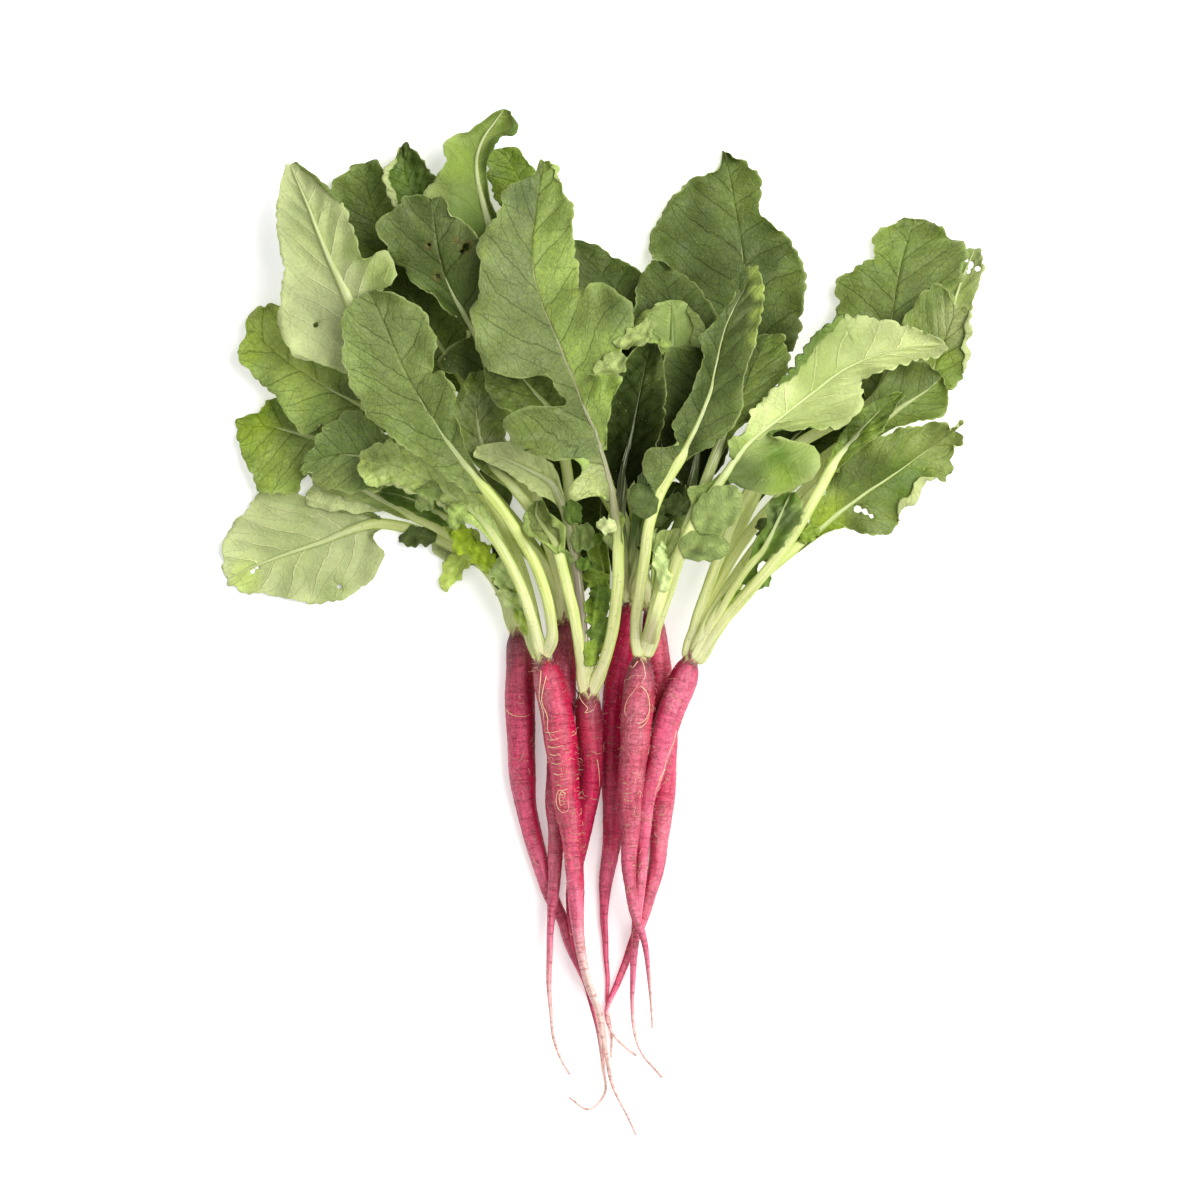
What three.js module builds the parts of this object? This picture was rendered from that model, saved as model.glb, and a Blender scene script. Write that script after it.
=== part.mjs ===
// A bunch of long red radishes lying on a table, roots toward -Y and leaves toward +Y.
// Eight plants are piled on each other: each root and each leaf is one closed solid.
// Units are millimetres, +Z is up, and the origin is under the middle of the bunch.

import * as THREE from 'three';

// ---------- driving dimensions ----------

const gridPitch = 0.45;                  // mm between two lines of the layout grid
const gridCentre = { x: 602, y: 627 };   // grid lines that cross at the origin; y runs toward -Y
const clearance = 0.35;                  // air kept between one solid and the next
const bladeThickness = 0.8;              // leaf blade away from its rib
const stalkWidth = 5;                    // leaf stalk across, above the crown
const stalkHeightRatio = 0.62;           // stalk height over its width
const stalkBaseHeight = 1.7;             // stalks are pressed flat where they leave the crown
const ribTipWidth = 0.9;                 // rib where the blade ends
const rootSides = 10;                    // flats round a root, one of them facing down
const thinnestRoot = 0.5;                // radius of the whip at the end of a root
const foldPlace = 0.45;                  // where a half blade is creased, from rib to edge
const stalkShoulder = 0.62;              // the same on a bare stalk
const cellSize = 1;                      // mesh width of the height map that the pile is laid on
const mapReach = { x: 186, y: 246 };     // half size of that height map
const bladeSag = 0.12;                   // how far a free blade sinks between its neighbours
const stalkSag = 0.03;                   // the same for the stiffer stalks
const settleRounds = 80;

// ---------- roots, from the lowest in the pile to the highest ----------
// Each station is grid x, grid y and radius in grid steps, from the crown to the tip of the whip.

const roots = [
  { plant: 'a', stations: [
    [517, 630, 9.5], [518, 641, 12.5], [519, 660, 14.2], [520, 690, 15], [520, 720, 15], [521, 750, 14],
    [522, 780, 13], [525, 803, 11], [530, 828, 10], [537, 855, 9.2], [550, 895, 7.5], [562, 920, 6.4],
    [569, 943, 5.8], [577, 963, 4.8], [589, 991, 3.7], [600, 1020, 2.4], [604, 1070, 1.4],
    [605, 1096, 1.2], [590, 1112, 1.1], [570, 1100, 1.1]] },
  { plant: 'e', stations: [
    [631, 600, 8.5], [628, 622, 11.5], [621, 655, 12.5], [615, 690, 12.2], [613, 730, 11.6], [612, 770, 11],
    [613, 810, 10.5], [612, 840, 9.5], [609, 862, 8.3], [605, 890, 6.2], [604, 915, 4.3], [605, 945, 3.1],
    [608, 980, 2.2], [607, 1015, 1.5], [613, 1044, 1.2], [612, 1060, 1.1]] },
  { plant: 'g', stations: [
    [650, 605, 8.5], [653, 622, 11.5], [657, 655, 13], [661, 690, 13.5], [664, 730, 13.5], [665, 762, 12.5],
    [664, 792, 11.5], [661, 825, 10.3], [654, 880, 8], [646, 910, 6.3], [633, 945, 4.8], [619, 982, 3.4],
    [607, 1018, 2.2], [615, 1039, 1.4], [625, 1049, 1.2], [636, 1058, 1.1]] },
  { plant: 'c', stations: [
    [563, 618, 9.5], [564, 634, 11.5], [564, 655, 12.5], [563, 700, 13], [561, 740, 13], [558, 772, 12],
    [556, 800, 11], [556, 828, 8.6], [555, 862, 7.2], [553, 898, 5.6], [551, 920, 4], [549, 975, 3],
    [551, 1015, 2], [554, 1045, 1.6], [562, 1066, 1.2], [570, 1077, 1.1]] },
  { plant: 'd', stations: [
    [589, 693, 9.5], [588, 703, 13], [589, 722, 13.6], [591, 752, 12.4], [590, 785, 11.5], [584, 818, 10.6],
    [578, 848, 9.6], [574, 880, 7.5], [572, 910, 6], [575, 940, 5], [583, 976, 3.4], [593, 1012, 2.4],
    [600, 1048, 1.5], [604, 1075, 1.2]] },
  { plant: 'h', stations: [
    [692, 657, 9.5], [688, 667, 13], [682, 684, 14.6], [671, 711, 13.6], [662, 742, 12.4], [654, 772, 10.8],
    [647, 800, 8.6], [644, 835, 6.8], [642, 870, 5.8], [637, 920, 5], [634, 960, 3.7], [632, 1000, 2.2],
    [634, 1035, 1.6], [642, 1055, 1.2], [662, 1080, 1.1]] },
  { plant: 'b', stations: [
    [542, 657, 9.5], [545, 667, 13.5], [550, 684, 16.2], [558, 720, 16.5], [562, 750, 16], [565, 778, 14.7],
    [567, 802, 13.8], [570, 823, 12.3], [573, 847, 10.4], [575, 880, 9], [577, 918, 7.1], [580, 947, 5.3],
    [588, 983, 4.4], [600, 1017, 3.4], [605, 1050, 2.8], [610, 1080, 2], [628, 1120, 1.2],
    [637, 1138, 1.1]] },
  { plant: 'f', stations: [
    [642, 655, 9.5], [641, 664, 12.5], [640, 681, 15.2], [638, 702, 16.5], [636, 732, 15.5],
    [632, 768, 13.8],
    [630, 805, 12.3], [630, 828, 10.4], [629, 853, 8.2], [630, 880, 6.5], [635, 913, 5.3], [644, 940, 3.5],
    [648, 970, 2.4], [651, 1005, 1.5], [653, 1030, 1.1]] },
];

// ---------- leaves, from the lowest in the pile to the highest ----------
// Each row runs across the leaf: its rib, then its left and right edge as seen by someone who
// stands at the crown and looks to the tip. A missing edge is the side of the bare stalk.
// face: the side that is up. arch, edgeLift and ripple: mm that the leaf rises where it lies free.

const _ = null;

const leaves = [
  { name: 'leaf_a1', plant: 'a', face: 'under', arch: 1.5, edgeLift: 1, ripple: 1.4, rows: [
    [[513, 628]], [[505, 602]], [[493, 578]], [[480, 563]],
    [[467, 554], [471, 564], _], [[455, 548], [451, 563], _], [[444, 542], [430, 551], _],
    [[434, 537]], [[415, 530]], [[395, 525]], [[378, 523]],
    [[364, 525], [366, 536], [380, 514]], [[352, 529], [383, 549], [360, 508]],
    [[339, 534], [378, 569], [335, 504]], [[325, 540], [362, 586], [312, 499]],
    [[308, 546], [344, 598], [290, 493]], [[290, 552], [318, 603], [262, 491]],
    [[273, 558], [292, 600], [246, 508]], [[258, 564], [262, 593], [230, 526]],
    [[245, 569], [240, 592], [219, 547]], [[234, 575], [230, 585], [223, 563]]] },
  { name: 'leaf_a2', plant: 'a', face: 'under', arch: 2, edgeLift: 1, ripple: 1, rows: [
    [[517, 628]], [[506, 600]], [[488, 570]], [[462, 543]], [[435, 526]], [[412, 515]],
    [[400, 508], [398, 517], [404, 494]], [[381, 499], [372, 505], [390, 478]],
    [[359, 487], [345, 498], [373, 460]], [[339, 473], [318, 488], [356, 446]],
    [[323, 459], [305, 470], [339, 437]], [[312, 448], [304, 456], [322, 437]]] },
  { name: 'leaf_a3', plant: 'a', face: 'upper', arch: 2, edgeLift: 1, ripple: 1, rows: [
    [[520, 628]], [[509, 600]], [[494, 572]], [[476, 545]], [[461, 530]],
    [[448, 519], [443, 527], [453, 505]], [[429, 508], [422, 517], [434, 493]],
    [[410, 499], [402, 507], [413, 486]], [[394, 494], [386, 501], [394, 484]],
    [[384, 492], [380, 496], [383, 488]]] },
  { name: 'leaf_c7', plant: 'c', face: 'upper', arch: 2, edgeLift: 1, ripple: 1, rows: [
    [[565, 616]], [[567, 602], [556, 601], [576, 603]], [[569, 580], [549, 580], [590, 584]],
    [[572, 555], [543, 553], [600, 558]], [[573, 525], [536, 522], [606, 528]],
    [[573, 492], [530, 486], [606, 494]], [[571, 460], [528, 452], [602, 460]],
    [[567, 432], [540, 428], [592, 432]]] },
  { name: 'leaf_e6', plant: 'e', face: 'upper', arch: 2, edgeLift: 1, ripple: 1, rows: [
    [[632, 597]], [[631, 582], [618, 582], [643, 584]], [[630, 555], [606, 556], [655, 560]],
    [[629, 525], [600, 526], [662, 530]], [[630, 492], [602, 492], [668, 498]],
    [[634, 460], [606, 458], [672, 464]], [[640, 430], [618, 426], [668, 432]]] },
  { name: 'leaf_h8', plant: 'h', face: 'upper', arch: 2.5, edgeLift: 1, ripple: 1, rows: [
    [[690, 655]], [[702, 618]], [[718, 578]], [[736, 538]], [[754, 500]],
    [[768, 474], [752, 472], [782, 480]], [[784, 450], [750, 446], [810, 462]],
    [[804, 428], [764, 420], [838, 446]], [[828, 408], [796, 398], [864, 424]],
    [[852, 392], [836, 380], [884, 400]], [[874, 380], [866, 370], [890, 378]]] },
  { name: 'leaf_c1', plant: 'c', face: 'upper', arch: 2, edgeLift: 1.5, ripple: 1.5, rows: [
    [[558, 616]], [[545, 578]], [[510, 535]], [[465, 500]], [[415, 472]], [[370, 453]], [[348, 445]],
    [[335, 441], [320, 459], [346, 425]], [[319, 438], [306, 471], [329, 411]],
    [[302, 434], [296, 489], [309, 402]], [[286, 430], [273, 494], [291, 397]],
    [[271, 427], [252, 481], [271, 399]], [[258, 425], [245, 461], [257, 412]],
    [[244, 427], [239, 441], [237, 417]]] },
  { name: 'leaf_c2', plant: 'c', face: 'upper', arch: 2.5, edgeLift: 1.5, ripple: 1.2, rows: [
    [[561, 616]], [[550, 575]], [[520, 528]], [[480, 483]], [[440, 450]], [[405, 430]],
    [[380, 416], [352, 427], [392, 394]], [[356, 403], [325, 423], [372, 372]],
    [[333, 391], [303, 434], [352, 350]], [[311, 378], [283, 409], [331, 329]],
    [[291, 365], [265, 384], [311, 312]], [[273, 350], [243, 367], [293, 303]],
    [[259, 337], [238, 348], [276, 302]], [[251, 325], [246, 331], [261, 308]]] },
  { name: 'leaf_c3', plant: 'c', face: 'upper', arch: 3, edgeLift: 2, ripple: 1.5, rows: [
    [[564, 616]], [[556, 570]], [[532, 505]], [[500, 440]], [[470, 393]],
    [[455, 369], [438, 380], [474, 360]], [[440, 346], [418, 358], [480, 330]],
    [[425, 322], [405, 335], [470, 304]], [[408, 293], [378, 300], [445, 276]],
    [[393, 262], [362, 263], [420, 240]], [[381, 233], [345, 232], [408, 214]],
    [[372, 206], [333, 206], [397, 195]], [[366, 185], [329, 184], [384, 180]],
    [[364, 168], [348, 167], [379, 160]]] },
  { name: 'leaf_c4', plant: 'c', face: 'upper', arch: 2, edgeLift: 1.5, ripple: 1.3, rows: [
    [[567, 616]], [[553, 578]], [[522, 540]], [[480, 505]], [[440, 480]], [[415, 469]],
    [[398, 463], [395, 483], [394, 439]], [[380, 459], [367, 490], [372, 423]],
    [[362, 456], [348, 491], [361, 412]], [[345, 454], [330, 489], [338, 415]],
    [[330, 455], [317, 484], [324, 430]], [[317, 459], [307, 472], [313, 448]]] },
  { name: 'leaf_g1', plant: 'g', face: 'upper', arch: 4, edgeLift: 4, ripple: 2.5, rows: [
    [[645, 603]], [[628, 540]], [[590, 470]], [[545, 400]], [[505, 335]], [[475, 292]],
    [[456, 266], [440, 276], [476, 254]], [[439, 236], [415, 240], [459, 225]],
    [[425, 212], [396, 208], [446, 200]], [[413, 192], [384, 187], [436, 180]],
    [[405, 174], [382, 171], [424, 162]], [[402, 158], [397, 155], [409, 145]]] },
  { name: 'leaf_g2', plant: 'g', face: 'upper', arch: 4.5, edgeLift: 2, ripple: 1.5, rows: [
    [[648, 603]], [[640, 540]], [[622, 450]], [[600, 370]], [[581, 305]],
    [[560, 262], [543, 271], [572, 250]], [[546, 227], [521, 236], [560, 214]],
    [[530, 196], [501, 206], [547, 188]], [[516, 172], [489, 178], [535, 169]],
    [[505, 153], [489, 154], [518, 148]]] },
  { name: 'leaf_e1', plant: 'e', face: 'upper', arch: 3, edgeLift: 2, ripple: 2, rows: [
    [[636, 597]], [[650, 552]], [[676, 500]], [[706, 448]], [[730, 400]], [[741, 368]],
    [[745, 345], [724, 345], [772, 358]], [[746, 325], [700, 325], [797, 345]],
    [[746, 305], [680, 305], [801, 320]], [[746, 286], [665, 283], [806, 292]],
    [[745, 267], [655, 262], [803, 268]], [[743, 249], [650, 242], [796, 245]],
    [[741, 232], [656, 222], [782, 230]], [[738, 215], [668, 203], [760, 213]],
    [[735, 198], [684, 184], [761, 197]], [[732, 182], [705, 172], [761, 180]],
    [[729, 167], [720, 171], [750, 163]], [[727, 156], [723, 151], [733, 155]]] },
  { name: 'leaf_g3', plant: 'g', face: 'under', arch: 5, edgeLift: 2, ripple: 2, rows: [
    [[651, 603]], [[632, 540]], [[596, 460]], [[560, 380]], [[528, 312]], [[507, 264]],
    [[497, 245], [480, 251], [509, 240]], [[489, 224], [450, 226], [501, 224]],
    [[484, 207], [421, 202], [492, 206]], [[480, 191], [430, 183], [488, 190]],
    [[477, 176], [446, 164], [486, 172]], [[476, 161], [443, 148], [487, 157]],
    [[479, 146], [452, 135], [494, 141]], [[485, 133], [472, 128], [504, 135]],
    [[493, 122], [484, 120], [518, 129]], [[500, 112], [491, 113], [511, 113]]] },
  { name: 'leaf_c5', plant: 'c', face: 'upper', arch: 4, edgeLift: 2, ripple: 2, rows: [
    [[560, 616]], [[556, 570]], [[540, 510]], [[519, 445]], [[502, 400]],
    [[495, 382], [478, 383], _], [[490, 370], [448, 373], _], [[487, 360], [432, 360], _],
    [[484, 351], [457, 345], _], [[480, 341], [473, 336], [492, 326]],
    [[466, 317], [444, 306], [498, 302]], [[453, 294], [417, 285], [499, 276]],
    [[444, 272], [399, 262], [493, 254]], [[439, 253], [383, 245], [480, 239]],
    [[436, 236], [376, 222], [464, 223]], [[434, 219], [403, 204], [448, 209]]] },
  { name: 'leaf_e3', plant: 'e', face: 'upper', arch: 4.5, edgeLift: 2, ripple: 2, rows: [
    [[630, 597]], [[633, 550]], [[640, 500]], [[645, 450]], [[645, 410]], [[642, 387]],
    [[639, 370], [615, 373], [665, 365]], [[633, 345], [595, 346], [666, 336]],
    [[626, 321], [580, 319], [661, 306]], [[618, 298], [572, 291], [652, 284]],
    [[607, 279], [569, 262], [638, 269]], [[590, 261], [574, 238], [612, 256]]] },
  { name: 'leaf_e4', plant: 'e', face: 'upper', arch: 4.5, edgeLift: 2, ripple: 2, rows: [
    [[633, 597]], [[641, 550]], [[652, 500]], [[662, 450]], [[668, 412]],
    [[672, 390], [650, 392], [695, 386]], [[675, 365], [640, 362], [712, 360]],
    [[675, 340], [633, 335], [720, 336]], [[673, 316], [635, 306], [716, 312]],
    [[668, 295], [638, 286], [702, 293]], [[663, 278], [643, 270], [685, 276]],
    [[659, 266], [651, 263], [668, 265]]] },
  { name: 'leaf_g5', plant: 'g', face: 'under', arch: 6, edgeLift: 0, ripple: 1, rows: [
    [[655, 603]], [[657, 560]], [[664, 500]], [[669, 440]], [[672, 400]],
    [[672, 376], [645, 377], [696, 373]], [[672, 355], [638, 353], [703, 351]],
    [[672, 336], [633, 333], [704, 333]], [[672, 319], [638, 316], [699, 316]],
    [[672, 307], [655, 308], [688, 307]]] },
  { name: 'leaf_g4', plant: 'g', face: 'upper', arch: 2, edgeLift: 2, ripple: 2, rows: [
    [[654, 603]], [[664, 562]], [[680, 520]], [[690, 490]],
    [[695, 468], [668, 470], [722, 466]], [[698, 443], [660, 438], [729, 438]],
    [[700, 415], [656, 406], [727, 408]], [[700, 385], [658, 378], [718, 378]],
    [[698, 358], [668, 352], [712, 352]]] },
  { name: 'leaf_e2', plant: 'e', face: 'upper', arch: 2.5, edgeLift: 2, ripple: 2, rows: [
    [[627, 597]], [[624, 560]], [[620, 520]], [[622, 490]],
    [[625, 465], [606, 468], [650, 462]], [[631, 440], [604, 438], [660, 436]],
    [[636, 415], [606, 410], [664, 412]], [[641, 390], [612, 382], [666, 388]],
    [[646, 366], [626, 360], [662, 364]], [[650, 348], [640, 345], [658, 347]]] },
  { name: 'leaf_e5', plant: 'e', face: 'upper', arch: 2.5, edgeLift: 3, ripple: 1, rows: [
    [[635, 597]], [[642, 570]], [[650, 546]],
    [[656, 531], [651, 526], [665, 532]], [[661, 516], [650, 506], [676, 516]],
    [[668, 502], [656, 492], [685, 501]], [[675, 490], [668, 485], [685, 488]]] },
  { name: 'leaf_c6', plant: 'c', face: 'upper', arch: 3.5, edgeLift: 2, ripple: 2, rows: [
    [[563, 616]], [[558, 580]], [[540, 525]], [[512, 485]],
    [[492, 466], [484, 472], [504, 458]], [[483, 448], [464, 452], [505, 438]],
    [[479, 431], [456, 433], [506, 420]], [[477, 413], [453, 412], [504, 403]],
    [[477, 396], [458, 392], [492, 388]], [[477, 379], [469, 376], [485, 373]]] },
  { name: 'leaf_h1', plant: 'h', face: 'under', arch: 2.5, edgeLift: 1.5, ripple: 1.5, rows: [
    [[691, 655]], [[703, 618]], [[722, 578]], [[752, 530]], [[790, 488]], [[835, 450]], [[885, 423]],
    [[915, 408]], [[930, 396], [916, 394], [944, 392]], [[938, 371], [914, 368], [958, 368]],
    [[944, 346], [916, 340], [966, 345]], [[950, 321], [925, 312], [971, 318]],
    [[957, 298], [936, 290], [976, 295]], [[964, 277], [949, 268], [984, 271]],
    [[973, 256], [966, 251], [983, 251]]] },
  { name: 'leaf_h2', plant: 'h', face: 'upper', arch: 3.5, edgeLift: 2, ripple: 2, rows: [
    [[688, 654]], [[697, 620]], [[709, 585]], [[722, 550]], [[737, 512]], [[762, 475]], [[802, 442]],
    [[845, 418]], [[872, 402]],
    [[884, 385], [856, 384], [908, 380]], [[888, 360], [848, 355], [926, 355]],
    [[891, 335], [840, 326], [939, 330]], [[894, 312], [838, 303], [949, 305]],
    [[897, 290], [840, 276], [958, 284]], [[901, 270], [863, 266], [966, 262]],
    [[905, 253], [876, 252], [967, 248]], [[909, 239], [876, 236], [945, 231]],
    [[914, 224], [898, 221], [932, 223]]] },
  { name: 'leaf_h3', plant: 'h', face: 'upper', arch: 3, edgeLift: 1.5, ripple: 1, rows: [
    [[694, 656]], [[708, 622]], [[732, 582]], [[770, 530]], [[815, 480]], [[860, 438]], [[900, 410]],
    [[921, 393], [911, 385], [938, 392]], [[930, 376], [903, 350], [955, 384]],
    [[936, 363], [905, 318], [970, 361]], [[941, 350], [921, 299], [968, 338]]] },
  { name: 'leaf_h4', plant: 'h', face: 'upper', arch: 3, edgeLift: 2, ripple: 1.5, rows: [
    [[696, 656]], [[712, 622]], [[738, 584]], [[780, 530]], [[825, 480]], [[865, 440]],
    [[882, 422], [870, 412], [893, 428]], [[900, 408], [880, 385], [922, 420]],
    [[917, 397], [902, 364], [948, 413]], [[931, 387], [925, 361], [948, 392]],
    [[940, 378], [935, 370], [944, 382]]] },
  { name: 'leaf_h5', plant: 'h', face: 'upper', arch: 2.5, edgeLift: 1.5, ripple: 2, rows: [
    [[700, 659]], [[715, 634]], [[735, 606]], [[754, 584]], [[772, 567]], [[791, 551]],
    [[809, 538], [803, 531], [812, 542]], [[825, 524], [816, 507], [836, 528]],
    [[841, 511], [829, 484], [857, 530]], [[856, 500], [843, 462], [879, 537]],
    [[870, 490], [860, 447], [893, 528]], [[884, 481], [880, 437], [901, 510]],
    [[897, 472], [902, 430], [920, 498]], [[908, 464], [921, 425], [926, 478]],
    [[919, 456], [938, 423], [944, 482]], [[932, 447], [950, 428], [953, 454]]] },
  { name: 'leaf_h6', plant: 'h', face: 'upper', arch: 3, edgeLift: 1, ripple: 1, rows: [
    [[698, 657]], [[719, 626]], [[740, 602]], [[765, 572]], [[790, 539]], [[806, 513]], [[820, 488]],
    [[829, 471]], [[837, 459], [832, 451], [844, 463]], [[848, 446], [839, 437], [863, 446]],
    [[860, 432], [850, 423], [880, 433]], [[873, 418], [862, 410], [889, 420]],
    [[886, 406], [877, 400], [896, 404]], [[898, 396], [893, 393], [904, 397]]] },
  { name: 'leaf_h7', plant: 'h', face: 'under', arch: 2.5, edgeLift: 3, ripple: 3, stalk: 3.6, rows: [
    [[695, 655]], [[717, 617]], [[736, 584]], [[752, 562]],
    [[762, 552], [753, 549], [772, 556]], [[768, 541], [757, 535], [781, 546]],
    [[773, 531], [769, 524], [791, 533]], [[778, 520], [764, 510], [799, 522]],
    [[783, 509], [770, 499], [801, 507]], [[787, 500], [780, 496], [797, 497]]] },
  { name: 'leaf_f1', plant: 'f', face: 'upper', arch: 3, edgeLift: 1, ripple: 1.5, rows: [
    [[646, 652]], [[656, 612]], [[669, 572]], [[686, 530]], [[702, 490]], [[714, 458]],
    [[723, 435], [715, 440], [735, 432]], [[733, 411], [720, 411], [759, 412]],
    [[743, 389], [728, 386], [775, 387]], [[751, 368], [739, 364], [790, 362]],
    [[760, 351], [750, 346], [782, 345]]] },
  { name: 'leaf_f2', plant: 'f', face: 'under', arch: 2.5, edgeLift: 2, ripple: 2, stalk: 3.2, rows: [
    [[643, 652]], [[649, 622]], [[654, 600]],
    [[657, 580], [652, 582], [662, 576]], [[658, 566], [652, 566], [666, 561]],
    [[661, 553], [653, 551], [673, 549]], [[664, 544], [655, 538], [679, 536]]] },
  { name: 'leaf_f3', plant: 'f', face: 'under', arch: 3, edgeLift: 1, ripple: 2, stalk: 5.6, rows: [
    [[648, 652]], [[658, 620]], [[667, 594]], [[675, 568]], [[682, 548]],
    [[687, 537], _, [694, 549]], [[691, 529], _, [712, 552]], [[695, 522], _, [728, 531]],
    [[699, 515], _, [711, 523]], [[703, 508], [692, 505], [714, 519]],
    [[707, 501], [683, 489], [728, 510]], [[712, 494], [697, 486], [734, 488]],
    [[718, 485], [712, 484], [727, 482]], [[724, 476]],
    [[728, 470], _, [742, 491]], [[731, 465], _, [762, 499]], [[735, 460], _, [796, 496]],
    [[738, 456], [728, 446], [820, 476]], [[741, 452], [723, 437], [830, 448]],
    [[744, 448], [733, 439], [808, 437]], [[748, 444], [742, 438], [772, 442]],
    [[757, 436], [748, 426], [765, 434]], [[768, 427], [751, 412], [785, 428]],
    [[780, 418], [766, 397], [815, 429]], [[793, 408], [780, 382], [840, 428]],
    [[806, 398], [793, 366], [858, 411]], [[819, 388], [805, 347], [863, 396]],
    [[833, 377], [822, 328], [858, 382]], [[849, 367], [838, 319], [876, 374]],
    [[867, 359], [857, 317], [895, 366]], [[887, 352], [880, 320], [913, 361]],
    [[909, 348], [903, 327], [930, 358]], [[938, 345], [934, 337], [945, 352]]] },
  { name: 'leaf_f4', plant: 'f', face: 'upper', arch: 4, edgeLift: 1, ripple: 1.5, rows: [
    [[638, 652]], [[636, 620]], [[640, 590]], [[645, 555]], [[649, 525]], [[657, 500]],
    [[661, 491], [655, 491], _], [[666, 482], [647, 484], _], [[671, 474], [643, 469], _],
    [[676, 466], [642, 452], _], [[681, 458], [661, 448], _], [[686, 451], [682, 448], [696, 452]],
    [[691, 441], [676, 437], [709, 449]], [[696, 430], [673, 424], [722, 438]],
    [[701, 418], [680, 410], [736, 423]], [[706, 404], [690, 396], [742, 404]],
    [[711, 389], [698, 374], [742, 379]], [[714, 374], [703, 359], [749, 362]],
    [[718, 356], [699, 340], [755, 341]], [[722, 338], [712, 326], [760, 321]],
    [[729, 319], [724, 310], [762, 300]], [[738, 301], [737, 294], [762, 285]],
    [[745, 289], [728, 284], [761, 277]], [[749, 278], [742, 272], [757, 271]]] },
  { name: 'leaf_b1', plant: 'b', face: 'under', arch: 2, edgeLift: 2, ripple: 2, stalk: 3.6, rows: [
    [[535, 654]], [[529, 638]],
    [[523, 622], [518, 621], [529, 618]], [[517, 605], [509, 605], [526, 602]],
    [[511, 591], [500, 589], [520, 585]], [[503, 579], [489, 575], [516, 567]],
    [[493, 567], [477, 562], [501, 568]], [[482, 556], [467, 552], [492, 555]],
    [[470, 546], [456, 544], [480, 541]], [[460, 538], [448, 535], [473, 527]],
    [[451, 531], [445, 528], [459, 530]]] },
  { name: 'leaf_b2', plant: 'b', face: 'under', arch: 3, edgeLift: 1, ripple: 1.5, stalk: 6.3, rows: [
    [[539, 655]], [[534, 622]], [[526, 588]], [[513, 550]], [[496, 515]], [[472, 482]], [[443, 446]],
    [[412, 408]], [[388, 372]],
    [[374, 346], [346, 373], _], [[363, 327], [318, 362], _], [[354, 310], [292, 355], [371, 294]],
    [[347, 296], [276, 318], [399, 280]], [[341, 283], [283, 291], [386, 247]],
    [[333, 267], [284, 270], [366, 262]], [[324, 247], [279, 247], [356, 240]],
    [[315, 225], [276, 220], [347, 214]], [[307, 204], [277, 200], [334, 193]],
    [[299, 186], [280, 181], [316, 177]], [[292, 169], [285, 166], [298, 163]]] },
  { name: 'leaf_b3', plant: 'b', face: 'upper', arch: 2.5, edgeLift: 3, ripple: 1.5, rows: [
    [[542, 655]], [[533, 622]], [[519, 582]], [[500, 546]],
    [[482, 520], [477, 527], [487, 508]], [[461, 502], [452, 515], [467, 488]],
    [[440, 488], [430, 498], [446, 474]], [[420, 477], [405, 491], [424, 458]],
    [[400, 467], [388, 484], [402, 444]], [[382, 463], [370, 488], [385, 441]],
    [[366, 461], [359, 471], [363, 451]]] },
  { name: 'leaf_b4', plant: 'b', face: 'upper', arch: 3.5, edgeLift: 1.5, ripple: 2, rows: [
    [[546, 654]], [[552, 638]], [[551, 618]], [[546, 594]], [[537, 568]], [[522, 540]], [[502, 510]],
    [[486, 490]], [[475, 477], [470, 494], [482, 476]], [[462, 461], [447, 478], [471, 460]],
    [[449, 444], [420, 457], [462, 438]], [[437, 425], [395, 438], [455, 412]],
    [[426, 408], [372, 421], [456, 394]], [[416, 391], [358, 398], [442, 371]],
    [[407, 375], [348, 376], [431, 376]], [[399, 358], [343, 353], [436, 349]],
    [[392, 342], [343, 333], [430, 323]], [[385, 325], [345, 314], [415, 304]],
    [[378, 310], [352, 302], [395, 295]], [[372, 298], [363, 297], [378, 291]]] },
  { name: 'leaf_d1', plant: 'd', face: 'upper', arch: 4, edgeLift: 2, ripple: 2, rows: [
    [[588, 690]], [[584, 650]], [[578, 585]], [[572, 520]], [[565, 460]], [[558, 430]],
    [[547, 407], [515, 415], [573, 397]], [[530, 388], [490, 397], [563, 372]],
    [[515, 368], [485, 370], [545, 352]], [[503, 350], [492, 350], [520, 342]]] },
  { name: 'leaf_d2', plant: 'd', face: 'under', arch: 3.5, edgeLift: 1, ripple: 1.5, stalk: 4.2, rows: [
    [[586, 690]], [[584, 655]], [[581, 610]], [[577, 575]], [[570, 535]], [[562, 505]],
    [[550, 482], [546, 498], [553, 465]], [[533, 472], [525, 486], [537, 452]],
    [[515, 463], [506, 471], [518, 443]], [[498, 456], [490, 464], [500, 442]],
    [[477, 451], [474, 457], [479, 446]]] },
  { name: 'leaf_d3', plant: 'd', face: 'under', arch: 2.5, edgeLift: 4, ripple: 2, rows: [
    [[584, 690]], [[580, 655]], [[574, 615]], [[566, 582]], [[559, 554]],
    [[555, 542], [545, 542], [566, 534]], [[548, 532], [531, 538], [562, 522]],
    [[541, 523], [523, 526], [551, 516]], [[536, 513], [524, 511], [547, 508]],
    [[537, 504], [532, 503], [544, 502]]] },
  { name: 'leaf_d4', plant: 'd', face: 'upper', arch: 2.5, edgeLift: 2, ripple: 3, stalk: 3.2, rows: [
    [[590, 690]], [[592, 662]], [[595, 640]],
    [[598, 625], [592, 627], [604, 624]], [[600, 611], [595, 611], [608, 609]],
    [[603, 598], [596, 598], [609, 594]], [[605, 584], [600, 585], [610, 580]],
    [[603, 570], [597, 572], [610, 566]], [[600, 557], [590, 558], [608, 553]],
    [[597, 546], [583, 543], [608, 544]], [[596, 537], [588, 536], [604, 536]]] },
  { name: 'leaf_d5', plant: 'd', face: 'upper', arch: 5, edgeLift: 1.5, ripple: 2, stalk: 5.4, rows: [
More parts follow.
